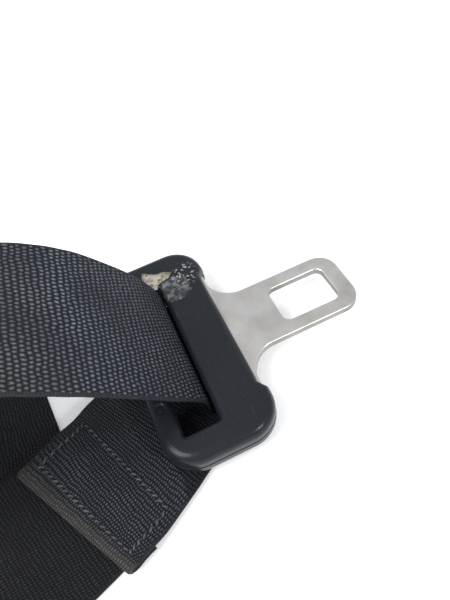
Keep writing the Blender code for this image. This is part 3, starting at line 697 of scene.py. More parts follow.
def dress(item: bpy.types.Object, material: bpy.types.Material, slot: Slot, body: str,
          *nodes: str) -> None:
    """Give a piece its material and its body.

    Args:
        item: the piece.
        material: its material, unless it has some already.
        slot: the record's slot that the material fills; not used.
        body: the body that the piece moves with.
        nodes: the CAD nodes that it stands for.
    """
    if not item.data.materials:
        item.data.materials.append(material)
    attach(item, body)
    if nodes:
        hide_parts(*nodes)
    LOG.info("%s rides on %s", item.name, body)


def repaint(frame: dict, node: str, material: bpy.types.Material) -> None:
    """Give a CAD node that stays in view its finished material.

    Args:
        node: the node's name.
        material: its material.
    """
    item = frame["nodes"][node]
    if item.material_slots:
        item.material_slots[0].material = material
    else:
        item.data.materials.append(material)
    LOG.info("%s repainted", node)


# ------------------------------------------------------------------------------ webbing
def slope(rows: list[Vector], knots: list[float], i: int) -> Vector:
    """Return the speed of a spline at a station.

    Args:
        rows: the stations.
        knots: where along the spline each station is.
        i: the station's number.

    Returns:
        The change of the row per unit of the knots.
    """
    before = (rows[i] - rows[i - 1]) / (knots[i] - knots[i - 1])
    after = (rows[i + 1] - rows[i]) / (knots[i + 1] - knots[i])
    across = (rows[i + 1] - rows[i - 1]) / (knots[i + 1] - knots[i - 1])
    return before + after - across


def spline(stations: list, steps: int) -> list[Vector]:
    """Draw a smooth route through stations.

    Args:
        stations: flat tuples of numbers, all of one length.
        steps: pieces between neighbouring stations.

    Returns:
        The route's rows, from the first station to the last.
    """
    rows = [Vector(row) for row in stations]
    rows = [2 * rows[0] - rows[1]] + rows + [2 * rows[-1] - rows[-2]]
    knots = [0.0]
    for a, b in zip(rows[:-1], rows[1:]):
        knots.append(knots[-1] + math.sqrt((b - a).length))
    route = []
    for i in range(1, len(rows) - 2):
        gap = knots[i + 1] - knots[i]
        leave = slope(rows, knots, i) * gap
        arrive = slope(rows, knots, i + 1) * gap
        for step in range(steps):
            t = step / steps
            route.append((2 * t ** 3 - 3 * t ** 2 + 1) * rows[i] + (t ** 3 - 2 * t ** 2 + t) * leave
                         + (3 * t ** 2 - 2 * t ** 3) * rows[i + 1] + (t ** 3 - t ** 2) * arrive)
    route.append(rows[-2])
    return route


def station(x: float, y: float, z: float, arm: tuple) -> tuple:
    """Return a route station: the middle of the webbing and the arm to its +Y edge."""
    return (x, y, z, *(Vector(arm).normalized() * WEB_HALF))


def flat_station(x: float, z: float, tilt: float = 0.0, aside: float = 0.0) -> tuple:
    """Return a station on a line's own middle plane or beside it, z above the surface."""
    return (x, aside, z, 0.0, WEB_HALF, tilt)


@dataclass
class Strap:
    """A run of webbing along a route, with its woven mesh and the surface that stitches lie on."""

    name: str
    route: list[Vector]
    width: float = 2 * WEB_HALF
    thickness: float = 1.3
    pitch: float = 1.1
    columns: int = 26
    wobble: float = 0.12

    def __post_init__(self) -> None:
        """Space the route's points evenly and find their frames."""
        lengths = [0.0]
        for a, b in zip(self.route[:-1], self.route[1:]):
            lengths.append(lengths[-1] + (Vector(b[:3]) - Vector(a[:3])).length)
        self.length = lengths[-1]
        count = max(2, round(self.length / self.pitch))
        self.rows: list[Vector] = []
        k = 0
        for i in range(count + 1):
            goal = self.length * i / count
            while k < len(lengths) - 2 and lengths[k + 1] < goal:
                k += 1
            share = (goal - lengths[k]) / max(lengths[k + 1] - lengths[k], 1e-9)
            self.rows.append(self.route[k].lerp(self.route[k + 1], share))
        self.frames: list[tuple[Vector, Vector, Vector]] = []
        for i, row in enumerate(self.rows):
            before = self.rows[max(i - 1, 0)]
            after = self.rows[min(i + 1, count)]
            along = Vector(after[:3]) - Vector(before[:3])
            arm = Vector(row[3:])
            self.frames.append((Vector(row[:3]), arm, along.cross(arm).normalized()))

    def length_at(self, place: tuple[float, float, float]) -> float:
        """Return how far along the strap the nearest point to a place is."""
        gaps = [(Vector(row[:3]) - Vector(place)).length for row in self.rows]
        return self.length * gaps.index(min(gaps)) / (len(self.rows) - 1)

    def at(self, along: float, across: float) -> tuple[Vector, Vector]:
        """Return the point on the strap's upper face and the direction out of it.

        Args:
            along: millimetres from the strap's start.
            across: millimetres from its middle.

        Returns:
            The point, and the direction as a unit vector.
        """
        spot = min(max(along / self.length, 0.0), 1.0) * (len(self.rows) - 1)
        k = min(int(spot), len(self.rows) - 2)
        middle, arm, up = (a.lerp(b, spot - k) for a, b in zip(self.frames[k], self.frames[k + 1]))
        up.normalize()
        return middle + arm * (across / (self.width / 2)) + up * (self.thickness / 2), up

    def section(self) -> list[Point]:
        """Draw the strap's cross-section, with round edges.

        Returns:
            Points, each a share of the half width and a height in millimetres.
        """
        edge = 1 - self.thickness / self.width
        spread = [-edge + 2 * edge * i / self.columns for i in range(self.columns + 1)]
        half = self.thickness / 2
        tips = arc(0, 0, 1.0, 60, -60, 4)
        right = [(edge + (1 - edge) * x, half * y) for x, y in tips]
        left = [(-x, -z) for x, z in right]
        return [(x, half) for x in spread] + right + [(x, -half) for x in reversed(spread)] + left

    def build(self, place: Matrix | None, **masks: Mask) -> bpy.types.Object:
        """Make the woven mesh.

        Args:
            place: the frame that the route is in.
            masks: soil, rub and shade, each a function of the length along the strap and the point
                in the part's frame, which says how brown, worn or dark the webbing is there.

        Returns:
            The strap's object.
        """
        section = self.section()
        rings = []
        for i, (middle, arm, up) in enumerate(self.frames):
            along = self.length * i / (len(self.frames) - 1)
            stray = self.wobble * noise.noise(Vector((along * 0.21, 3.7, 1.3)))
            swell = 1 + stray / (self.width / 2)
            rings.append([middle + arm * (x * swell) + up * z for x, z in section])
        shape = skin(rings)
        item = mesh_object(self.name, shape, place)
        self.mark(item, section, masks)
        smooth(item, 60.0)
        return item

    def mark(self, item: bpy.types.Object, section: list[Point], masks: dict[str, Mask]) -> None:
        """Write the weave's coordinates in millimetres, its soil and wear masks and its painted-shade
        mask, and which face is which.

        Args:
            item: the strap's object.
            section: the cross-section that it was made from.
            masks: the masks' rules, by name.
        """
        mesh = item.data
        count = len(section)
        across = [share * self.width / 2 for share, _ in section]
        lengths = [self.length * i / (len(self.frames) - 1) for i in range(len(self.frames))]
        layer = mesh.uv_layers.new(name="weave")
        for face in mesh.polygons:
            for loop in face.loop_indices:
                vertex = mesh.loops[loop].vertex_index
                layer.data[loop].uv = (across[vertex % count], lengths[vertex // count])
        for name, rule in masks.items():
            data = mesh.attributes.new(name=name, type="FLOAT", domain="POINT").data
            for vertex in mesh.vertices:
                value = rule(lengths[vertex.index // count], vertex.co / MM)
                data[vertex.index].value = min(max(value, 0.0), 1.0)
        data = mesh.attributes.new(name="back", type="FLOAT", domain="POINT").data
        for vertex in mesh.vertices:
            data[vertex.index].value = 1.0 if section[vertex.index % count][1] > 0 else 0.0


@dataclass
class Coil:
    """Webbing rolled up from its middle: strand one winds in, strand two winds out beside it."""

    x: float
    turns: float
    layer: float = 1.6
    core: float = 6.0
    first: float = FIRST_LAYER
    steps: int = 20
    leave_turn: float = 0.3         # share of a turn past the lowest point where strand two leaves
    fold_turns: tuple = (-60, -20, 20, 60)
    tie_width: float = 9.0
    tie_thickness: float = 1.2

    @property
    def radius(self) -> float:
        """Return the radius of strand one at the roll's lowest point."""
        return self.core + 2 * self.layer * self.turns

    @property
    def z(self) -> float:
        """Return the height of the roll's middle above the surface."""
        return self.first + self.radius

    def point(self, step: float, extra: float) -> Point:
        """Return a point of the roll in the line's own plane.

        Args:
            step: steps from the roll's lowest point, inwards.
            extra: how much further out the point lies than strand one.

        Returns:
            Its place along the line and its height.
        """
        turn = math.radians(-90 + 360 * step / self.steps)
        out = self.radius + extra - 2 * self.layer * step / self.steps
        return (self.x + out * math.cos(turn), self.z + out * math.sin(turn))

    def strands(self) -> list[Point]:
        """Wind both strands.

        Returns:
            Points from the roll's lowest point to where strand two leaves it.
        """
        last = round(self.turns * self.steps)
        leave = round(self.leave_turn * self.steps)
        inward = [self.point(step, 0.0) for step in range(last + 1)]
        outward = [self.point(step, self.layer) for step in range(last, leave - 1, -1)]
        end = math.radians(-90 + 360 * last / self.steps)
        fold = []
        for turn in self.fold_turns:
            out = self.core + self.layer / 2 * (1 + math.sin(math.radians(turn)))
            ahead = self.layer / 2 * math.cos(math.radians(turn))
            fold.append((self.x + out * math.cos(end) - ahead * math.sin(end),
                         self.z + out * math.sin(end) + ahead * math.cos(end)))
        return inward + fold + outward

    def route(self, start: list, end: list[Point]) -> list[Vector]:
        """Join a run, the roll and another run into one route.

        Args:
            start: stations of the run that leads to the roll.
            end: points of the run that leaves it.

        Returns:
            The route's rows.
        """
        strands = self.strands()
        lead = spline(start + [flat_station(*strands[0])], 6)
        middle = [Vector(flat_station(x, z)) for x, z in strands[1:-1]]
        tail = spline([flat_station(*strands[-1])] + [flat_station(x, z) for x, z in end], 6)
        return lead + middle + tail

    def tie(self, name: str, place: Matrix) -> bpy.types.Object:
        """Make the elastic band that runs through the roll's core and over its top.

        Args:
            name: the band's name.
            place: the line's frame.

        Returns:
            The band's object.
        """
        width, thickness = self.tie_width, self.tie_thickness
        side = WEB_HALF + GAP + thickness
        low = self.z - thickness / 2
        high = self.z + self.radius + 0.65 + GAP + thickness
        outer = rounded_box(-side, side, low, high, 1.8)
        inner = rounded_box(thickness - side, side - thickness, low + thickness, high - thickness, 0.6)
        profile = [(-1.0, 0.3), (-0.95, 0.05), (-0.86, 0.0), (0.86, 0.0), (0.95, 0.05), (1.0, 0.3),
                   (1.0, 0.7), (0.95, 0.95), (0.86, 1.0), (-0.86, 1.0), (-0.95, 0.95), (-1.0, 0.7)]
        rings = []
        for (oy, oz), (iy, iz) in zip(outer, inner):
            rings.append([(self.x + s * width / 2, oy + (iy - oy) * t, oz + (iz - oz) * t)
                          for s, t in profile])
        item = mesh_object(name, skin(rings, closed=True), place)
        layer = item.data.uv_layers.new(name="cords")
        for face in item.data.polygons:
            for loop in face.loop_indices:
                share = profile[item.data.loops[loop].vertex_index % len(profile)][0]
                layer.data[loop].uv = (share * width / 2, 0.0)
        smooth(item, 50.0)
        return item


@dataclass
class Stitching:
    """Rows of lockstitch on a strap, each stitch a short arch of thread that dips at both ends."""

    strap: Strap
    stitch: float = 1.7
    gap: float = 0.7
    slant: float = 0.45
    radius: float = 0.36
    rise: float = 0.42
    sink: float = 0.18
    taper: float = 0.55             # share of the radius that is left at a stitch's ends
    parts: int = 5
    sides: int = 6
    inset: float = 0.8              # zigzags keep this far inside their box

    def row(self, shape: bmesh.types.BMesh, start: Point, end: Point) -> None:
        """Add a straight row of stitches.

        Args:
            shape: what the stitches are added to.
            start: where the row starts, as millimetres along and across the strap.
            end: where it ends.
        """
        begin_at = Vector(start)
        reach = Vector(end) - begin_at
        count = max(1, round(reach.length / (self.stitch + self.gap)))
        step = reach / count
        share = self.stitch / (self.stitch + self.gap)
        aside = Vector((-step.y, step.x)).normalized() * self.slant
        for i in range(count):
            self.one(shape, begin_at + step * i - aside, begin_at + step * (i + share) + aside)

    def one(self, shape: bmesh.types.BMesh, start: Vector, end: Vector) -> None:
        """Add one stitch.

        Args:
            shape: what the stitch is added to.
            start: where it comes out, as millimetres along and across the strap.
            end: where it goes in.
        """
        last = self.parts
        points = []
        for k in range(last + 1):
            t = k / last
            spot, up = self.strap.at(*start.lerp(end, t))
            points.append((spot + up * (self.rise * math.sin(math.pi * t) - self.sink), up))
        rings = []
        for k, (point, up) in enumerate(points):
            along = (points[min(k + 1, last)][0] - points[max(k - 1, 0)][0]).normalized()
            side = along.cross(up).normalized()
            lift = side.cross(along)
            slim = self.radius * (self.taper if k in (0, last) else 1.0)
            rings.append([shape.verts.new(point + side * x * slim + lift * y * slim)
                          for x, y in circle(1.0, self.sides)])
        for here, after in zip(rings[:-1], rings[1:]):
            for j in range(self.sides):
                nxt = (j + 1) % self.sides
                shape.faces.new((here[j], here[nxt], after[nxt], after[j]))
        shape.faces.new(list(reversed(rings[0])))
        shape.faces.new(rings[-1])

    def box(self, name: str, place: Matrix | None, near: float, far: float, half: float = 20.5,
            zigzags: int = 0) -> bpy.types.Object:
        """Make a box of stitches, filled with zigzags.

        Args:
            name: the stitches' name.
            place: the frame that the strap's route is in.
            near: how far along the strap the box starts.
            far: how far along it ends.
            half: half the box's width.
            zigzags: how many zigzags fill it.

        Returns:
            The stitches' object.
        """
        shape = bmesh.new()
        corners = [(near, -half), (far, -half), (far, half), (near, half)]
        for a, b in zip(corners, corners[1:] + corners[:1]):
            self.row(shape, a, b)
        for i in range(zigzags):
            low = -half + 2 * half * i / zigzags
            high = -half + 2 * half * (i + 1) / zigzags
            middle = (low + high) / 2
            tip = (far - self.inset, middle)
            self.row(shape, (near + self.inset, low + self.inset), tip)
            self.row(shape, tip, (near + self.inset, high - self.inset))
        item = mesh_object(name, shape, place)
        smooth(item, 80.0)
        return item


# ------------------------------------------------------------------------------ latch tongue
@dataclass
class LatchTongue:
    """The steel latch tongue in its two-part moulded cover."""

    steel: bpy.types.Material
    nylon: bpy.types.Material
    torn: bpy.types.Material
    liner: bpy.types.Material
    sheared: bpy.types.Material
    thickness: float = 2.8
    blade_half: float = 12.6
    blade_tip: float = 36.3
    tip_radius: float = 7.0
    root_radius: float = 10.0
    shoulder_x: float = -8.0
    plate_rear: float = -41.2
    plate_half: float = 36.5
    plate_corner: float = 8.5
    hole: tuple = (9.4, 30.2, -7.4, 7.4, 2.6)
    cover_front: float = -9.0
    ear_front: float = -7.0
    cover_rear: float = -43.5
    cover_half: float = 40.2
    cover_top: float = 4.0
    cover_bottom: float = -6.8
    corner: float = 11.0
    edge: float = 3.3
    ear: tuple = (24.2, 27.2)
    parting: float = -1.4
    slot: tuple = (-36.0, -24.4, -31.0, 25.2)
    slot_corner: float = 1.2
    slot_end: float = 24.8
    slot_edge: float = 2.0
    liner_wall: float = 0.8
    gate_mark: tuple = (-39.7, -19.9)
    flake_depth: float = 0.9
    flake_seed: int = 7             # without a seed the edge would differ from run to run
    parting_edge: float = 0.25
    cover_angle: float = 32.0       # edges of the cover that turn more than this stay sharp

    def plate_outline(self, grow: float = 0.0) -> list[Point]:
        """Draw the plate's outline.

        Args:
            grow: how much larger it is all round.

        Returns:
            The outline.
        """
        bend = self.root_radius - grow
        front = self.shoulder_x - self.plate_corner
        rear = self.plate_rear + self.plate_corner
        side = self.plate_half - self.plate_corner
        corner = self.plate_corner + grow
        outline = arc(self.blade_tip - self.tip_radius, self.blade_half - self.tip_radius,
                      self.tip_radius + grow, 0, 90, 20)
        outline += arc(self.shoulder_x + self.root_radius, self.blade_half + grow + bend, bend,
                       270, 180, 24)
        outline += arc(front, side, corner, 0, 90) + arc(rear, side, corner, 90, 180)
        return mirrored(outline)

    def cover_outline(self, inset: float = 0.0) -> list[Point]:
        """Draw the cover's outline with its two ears.

        Args:
            inset: how far it is drawn in.

        Returns:
            The outline.
        """
        corner = self.corner - inset
        side = self.cover_half - self.corner
        drift = 0.3 * inset
        outline = [(self.cover_front - inset, self.ear[0] + drift),
                   (self.ear_front - inset, self.ear[1] + drift)]
        outline += arc(self.ear_front - self.corner, side, corner, 0, 90, 24)
        outline += arc(self.cover_rear + self.corner, side, corner, 90, 180, 24)
        return mirrored(outline)

    def slot_outline(self, grow: float, lower: bool = False) -> list[Point]:
        """Draw the webbing slot's outline.

        Args:
            grow: how much larger it is all round.
            lower: whether it is cut in the lower half, where its far end stays tight.

        Returns:
            The outline.
        """
        x0, x1, y0, y1 = self.slot
        if lower:
            return rounded_box(x0 - grow, x1 + grow, y0 - grow, self.slot_end, self.slot_corner)
        return rounded_box(x0 - grow, x1 + grow, y0 - grow, y1 + grow, self.slot_corner + grow)

    def plate(self) -> None:
        """Make the plate, its burred edges rolled over."""
        low = -self.thickness
        item = mesh_object("tongue_plate_finished", prism(self.plate_outline(), low, 0.0))
        cuts = [("DIFFERENCE", prism(rounded_box(*self.hole), low - 1, 1.0)),
                ("DIFFERENCE", prism(self.slot_outline(self.liner_wall + GAP), low - 1, 1.0))]
        carve(item, self.steel, cuts, edge=0.62)
        item.data.materials.append(self.sheared)
        for face in item.data.polygons:
            if abs(face.normal.z) < 0.5:
                face.material_index = 1
        smooth(item)
        dress(item, self.steel, Slot.TONGUE_STEEL, "tongue", "tongue_plate")

    def half_shell(self, name: str, outer: float, parting: float) -> bpy.types.Object:
        """Make one half of the cover.

        Args:
            name: the half's name.
            outer: the height of its outer face.
            parting: the height of the plane where the halves meet.

        Returns:
            The half's object.
        """
        up = 1 if outer > parting else -1
        levels = [(self.cover_outline(self.parting_edge), parting),
                  (self.cover_outline(), parting + up * self.parting_edge)]
        mouth = [(self.slot_outline(0.0, up < 0), parting - up * 2)]
        for turn in range(0, 91, 9):
            rise = math.sin(math.radians(turn)) - 1
            draw = 1 - math.cos(math.radians(turn))
            levels.append((self.cover_outline(self.edge * draw), outer + up * self.edge * rise))
            mouth.append((self.slot_outline(self.slot_edge * draw, up < 0),
                          outer + up * self.slot_edge * rise))
        mouth.append((self.slot_outline(self.slot_edge, up < 0), outer + up * 2))
        item = mesh_object(name, stack(levels))
        seat = -self.thickness / 2 + up * (self.thickness / 2 + GAP)
        cuts = [("DIFFERENCE", prism(self.plate_outline(GAP), parting - up * 2, seat)),
                ("DIFFERENCE", stack(mouth))]
        carve(item, self.nylon, cuts)
        return item

    def flake(self) -> bmesh.types.BMesh:
        """Make the shape of the flake that broke off the upper cover beside the slot.

        Returns:
            The flake, its edge ragged.
        """
        coarse = [(-28.0, 34.6), (-25.3, 32.8), (-23.0, 31.6), (-20.9, 31.6), (-17.6, 29.8), (-20.0, 27.7),
                  (-24.6, 26.7), (-25.5, 24.1), (-27.5, 27.3), (-28.9, 31.4)]
        noise.seed_set(self.flake_seed)
        ragged = []
        for (ax, ay), (bx, by) in zip(coarse, coarse[1:] + coarse[:1]):
            for k in range(5):
                x = ax + (bx - ax) * k / 5
                y = ay + (by - ay) * k / 5
                stray = noise.noise_vector(Vector((x * 0.9, y * 0.9, 0.4))) * 0.55
                ragged.append((x + stray.x, y + stray.y))
        return prism(ragged, self.cover_top - self.flake_depth, self.cover_top + 2)

    def dimple(self) -> bmesh.types.BMesh:
        """Make the ring-shaped hollow round the mark where the mould was filled.

        Returns:
            The hollow's shape.
        """
        x, y = self.gate_mark
        profile = [(0.75, 0.05), (1.0, -0.28), (1.6, -0.30), (2.1, 0.05), (2.1, 0.8), (0.75, 0.8)]
        rings = []
        for i in range(40):
            turn = 2 * math.pi * i / 40
            rings.append([(x + r * math.cos(turn), y + r * math.sin(turn), self.cover_top + h)
                          for r, h in profile])
        return skin(rings, closed=True)

    def build(self, frame: dict) -> None:
        """Make and dress the whole tongue.
        """
        self.plate()
        upper = self.half_shell("cover_upper_moulded", self.cover_top, self.parting + GAP / 2)
        carve(upper, self.nylon, [("DIFFERENCE", self.dimple())])
        carve(upper, self.torn, [("DIFFERENCE", self.flake())])
        smooth(upper, self.cover_angle)
        dress(upper, self.nylon, Slot.COVER_PLASTIC, "tongue", "tongue_cover_upper")
        lower = self.half_shell("cover_lower_moulded", self.cover_bottom, self.parting - GAP / 2)
        smooth(lower, self.cover_angle)
        dress(lower, self.nylon, Slot.COVER_PLASTIC, "tongue", "tongue_cover_lower")
        for node in ("tongue_slot_liner", "cover_peg_right", "cover_peg_left"):
            repaint(frame, node, self.liner)


# ------------------------------------------------------------------------------ main webbing
@dataclass
class TongueWebbing:
    """The webbing that carries the tongue: hem, run under the tongue, arch, adjuster turn and tail."""

    weave: bpy.types.Material
    thread: bpy.types.Material
    shoulder: tuple = (-136.0, 1.0)
    floor: float = SURFACE_Z + FIRST_LAYER
    second: float = SURFACE_Z + SECOND_LAYER
    tilt: float = 0.034
    bar: tuple = (19.0, 4.2, 3.45)
    frame_top: float = 9.6
    fold: tuple = (-75.6, -35.2, -5.75)
    tail: float = 95.0              # the length that lies in shade under the adjuster and the arch
    hem: tuple = (5.0, 16.5)        # the stitching's distance from the fold, and its length

    def on_line(self, points: list[Point]) -> list[tuple]:
        """Return stations for (x, z) points of the shoulder line."""
        x0, y0 = self.shoulder
        return [(x0 - x, y0, SURFACE_Z + z, 0.0, WEB_HALF, 0.0) for x, z in points]

    def route(self) -> list[Vector]:
        """Lay out the route from the folded hem to the tail's cut end.

        Returns:
            The route's rows.
        """
        tilt = self.tilt
        hem = [station(-65.2, -30.8, -6.8, (-0.43, 0.90, tilt)),
               station(-70.5, -33.0, -6.8, (-0.49, 0.87, tilt)),
               station(-74.2, -34.7, -6.8, (-0.511, 0.86, tilt)),
               station(*self.fold, (-0.511, 0.86, tilt)),
               station(-74.5, -34.8, -4.65, (-0.511, 0.86, tilt)),
               station(-72.6, -34.0, -4.85, (-0.50, 0.866, tilt)),
               station(-69.5, -32.4, -5.2, (-0.42, 0.907, tilt)),
               station(-64.6, -30.2, -5.22, (-0.36, 0.933, tilt)),
               station(-60.6, -28.2, -6.15, (-0.37, 0.928, tilt)),
               station(-56.5, -25.6, -6.75, (-0.40, 0.916, tilt))]
        below = [station(-52.0, -22.7, -7.0, (-0.46, 0.888, 0.022)),
                 station(-46.3, -19.0, -7.8, (-0.50, 0.866, 0.010)),
                 station(-36.0, -12.4, -8.4, (-0.49, 0.87, 0.0)),
                 station(-26.0, -6.1, self.floor + 0.12, (-0.42, 0.907, 0.0)),
                 (-18.9, -1.7, self.floor, -8.6, 23.2, 0.0),
                 (-16.6, -0.3, self.floor, -7.6, 23.7, 0.0),
                 (-15.8, 0.1, (self.floor + self.second) / 2, -7.0, WEB_HALF, 0.0),
                 (-16.6, 0.3, self.second, -5.6, WEB_HALF, 0.0),
                 (-19.2, 0.3, self.second, -3.2, WEB_HALF, 0.0)]
        below += [(x, 0.3, z, 0.0, WEB_HALF, 0.0) for x, z in arc(-22.4, -4.8, 3.0, 270, 180, 4)]
        arch = [station(-25.5, 0.3, -1.5, (0.0, 1.0, 0.0)),
                station(-26.6, 0.3, 3.4, (0.016, 1.0, 0.009)),
                station(-33.2, 0.2, 14.0, (0.092, 0.994, 0.064)),
                station(-41.0, 0.2, 24.3, (0.13, 0.986, 0.103)),
                station(-49.3, 0.2, 34.2, (0.147, 0.981, 0.131)),
                station(-59.0, 0.5, 42.8, (0.13, 0.984, 0.126)),
                station(-69.6, 0.8, 50.0, (0.09, 0.992, 0.08)),
                station(-82.0, 1.0, 54.5, (0.05, 1.0, 0.04)),
                station(-94.0, 1.0, 52.0, (0.02, 1.0, 0.02)),
                station(-103.5, 1.0, 43.5, (0.0, 1.0, 0.0)),
                station(-110.0, 1.0, 31.5, (0.0, 1.0, 0.0)),
                station(-115.5, 1.0, 18.5, (0.0, 1.0, 0.0)),
                station(-121.5, 1.0, 7.5, (0.0, 1.0, 0.0)),
                station(-129.0, 1.0, 1.8, (0.0, 1.0, 0.0))]
        over = self.frame_top + GAP + 0.65
        bar_x, bar_z, wrap = self.bar
        grip = self.on_line([(1.0, over + 0.25), (7.5, over), (13.0, over - 1.2)]
                            + arc(bar_x, bar_z, wrap, 80, -90, 8) + [(12.0, FIRST_LAYER)])
        tail = [station(-125.0, 1.4, self.floor, (0.0, 1.0, 0.0)),
                station(-100.0, 2.6, self.floor, (-0.05, 1.0, 0.0)),
                station(-74.5, 4.0, self.floor, (-0.11, 0.99, 0.0))]
        return spline(hem + below + arch + grip + tail, 8)

    def build(self) -> None:
        """Make and dress the webbing and its hem stitching."""
        strap = Strap("tongue_webbing_woven", self.route())
        hem = strap.length_at(self.fold)

        def soil(_: float, point: Vector) -> float:
            """Brown the arch towards its far side.

            Args:
                point: a place on the webbing.

            Returns:
                How brown it is there.
            """
            far = min(max((-50 - point.x) / 35, 0.0), 1.0)
            raised = min(max((point.z + 4) / 26, 0.0), 1.0)
            return 0.15 * (1 - raised) + far * raised

        def rub(along: float, _: Vector) -> float:
            """Wear the hem's fold."""
            return 0.32 * math.exp(-((along - hem - 0.8) / 2.3) ** 2)

        def shade(along: float, point: Vector) -> float:
            """Darken the tail, the hem and what lies under the tongue, and the arch by the slot.

            Args:
                along: millimetres from the webbing's start.
                point: a place on the webbing.

            Returns:
                How dark it is there.
            """
            if point.z > -3:
                return 0.25 * min(max((point.x + 60) / 25, 0.0), 1.0)
            if -42 < point.x < -20 and point.y < -18:
                return 0.86
            return 0.75 if along > strap.length - self.tail else 0.5

        item = strap.build(None, soil=soil, rub=rub, shade=shade)
        dress(item, self.weave, Slot.WEBBING, "webbing", "tongue_webbing")
        gap, length = self.hem
        seam = Stitching(strap).box("hem_stitches", None, hem + gap, hem + gap + length, 20.0)
        dress(seam, self.thread, Slot.THREAD, "webbing", "junction_stitching")


# ------------------------------------------------------------------------------ shoulder line
@dataclass
class ShoulderRun:
    """The run from the adjuster to the bolt-in anchor."""

    weave: bpy.types.Material
    thread: bpy.types.Material
    steel: bpy.types.Material
    bar_steel: bpy.types.Material
    zinc: bpy.types.Material
    bolt_zinc: bpy.types.Material
    fibre: bpy.types.Material
    elastic: bpy.types.Material
    line: tuple = (-136.0, 1.0, 180.0)
    rear_bar: tuple = (42.75, 8.35)
    anchor: tuple = (161.0, 8.8)
    loop: float = 4.55
    half: float = 31.0
    length: float = 46.0
    low: float = 7.1
    high: float = 9.6
    bar: tuple = (19.0, 4.2)
    travel: float = 3.5
    neck: float = 2.1
    corner: float = 3.0
    cheek: tuple = (9.0, 30.0)
    wall: float = 2.5
    window: tuple = (8.0, 25.5, -27.0, 27.0)
    end_slot: tuple = (31.5, 39.5, -26.0, 26.0)
    cut_corner: float = 2.0
    seam: float = 10.0
    anchor_seam: float = 11.0

    def route(self, coil: Coil) -> list[Vector]:
        """Lay out the webbing's route in the line's own frame.

        Args:
            coil: the roll in the middle of the run.

        Returns:
            The route's rows.
        """
        start = [(72.0, FIRST_LAYER), (66.0, FIRST_LAYER), (60.0, FIRST_LAYER), (53.0, 1.2), (48.0, 2.6)]
        start += arc(*self.rear_bar, self.loop, -90, -270, 8)
        start += [(48.0, 10.4), (54.0, 5.6), (60.0, 3.0), (66.0, 2.4), (72.0, SECOND_LAYER), (79.0, 1.0)]
        leave = coil.x + coil.radius
        x, z = self.anchor
        end = [(leave + 5.0, 15.0), (leave + 8.5, 8.5), (x - 34, 4.6), (x - 29, 2.9), (x - 23, 2.4),
               (x - 17, 2.4), (x - 12, 3.5), (x - 7.3, 7.6), (x - 4.6, 11.2)]
        end += arc(x, z, self.loop, 115, -90, 9)
        end += [(x - 6, 2.7), (x - 11, 1.1), (x - 17, FIRST_LAYER), (x - 24, FIRST_LAYER)]
        return coil.route([flat_station(px, pz) for px, pz in start], end)

    def adjuster(self, place: Matrix) -> None:
        """Make the adjuster's folded frame with rolled edges.

        Args:
            place: the line's frame.
        """
        outline = rounded_box(0, self.length, -self.half, self.half, self.corner)
        item = mesh_object("adjuster_frame_finished", prism(outline, self.low, self.high), place)
        cuts = []
        for inner in (-self.half, self.half - self.wall):
            cheek = rounded_box(*self.cheek, 0.1, self.low + 1.0, 1.0)
            cuts.append(("UNION", laid(prism(cheek, -inner - self.wall, -inner))))
        for cut, below in ((self.window, 2), (self.end_slot, 1)):
            shape = prism(rounded_box(*cut, self.cut_corner), self.low - below, self.high + 1)
            cuts.append(("DIFFERENCE", shape))
        x, z = self.bar
        track = arc(x, z, self.neck, -90, 90) + arc(x - self.travel, z, self.neck, 90, 270)
        cuts.append(("DIFFERENCE", laid(prism(track, -self.half - 1, self.half + 1))))
        carve(item, self.steel, cuts, place, edge=0.4)
        smooth(item)
        dress(item, self.steel, Slot.FITTING_STEEL, "webbing", "adjuster_frame")

    def build(self, frame: dict) -> None:
        """Make and dress the whole run.
        """
        place = frame_of(self.line)
        self.adjuster(place)
        coil = Coil(94.0, 4.25)
        strap = Strap("shoulder_webbing_woven", self.route(coil))
        item = strap.build(place, soil=lambda *_: 0.3, shade=lambda *_: 0.2)
        dress(item, self.weave, Slot.WEBBING, "webbing", "shoulder_webbing")
        stitches = Stitching(strap)
        x = self.anchor[0]
        first = strap.length_at((60.0, 0.0, 3.0))
        near = stitches.box("adjuster_stitches", place, first, first + self.seam, zigzags=5)
        dress(near, self.thread, Slot.THREAD, "webbing", "shoulder_adjuster_stitching")
        last = strap.length_at((x - 14.5, 0.0, 2.6))
        far = stitches.box("anchor_stitches", place, last - self.anchor_seam, last, zigzags=5)
        dress(far, self.thread, Slot.THREAD, "webbing", "shoulder_anchor_stitching")
        tie = coil.tie("shoulder_tie_elastic", place)
        dress(tie, self.elastic, Slot.TIE_RUBBER, "webbing", "shoulder_tie")
        for node, material in (("adjuster_slide_bar", self.bar_steel), ("anchor_plate", self.steel),
                               ("anchor_bush", self.zinc), ("anchor_washer", self.zinc),
                               ("anchor_retainer", self.fibre), ("anchor_bolt", self.bolt_zinc)):
            repaint(frame, node, material)


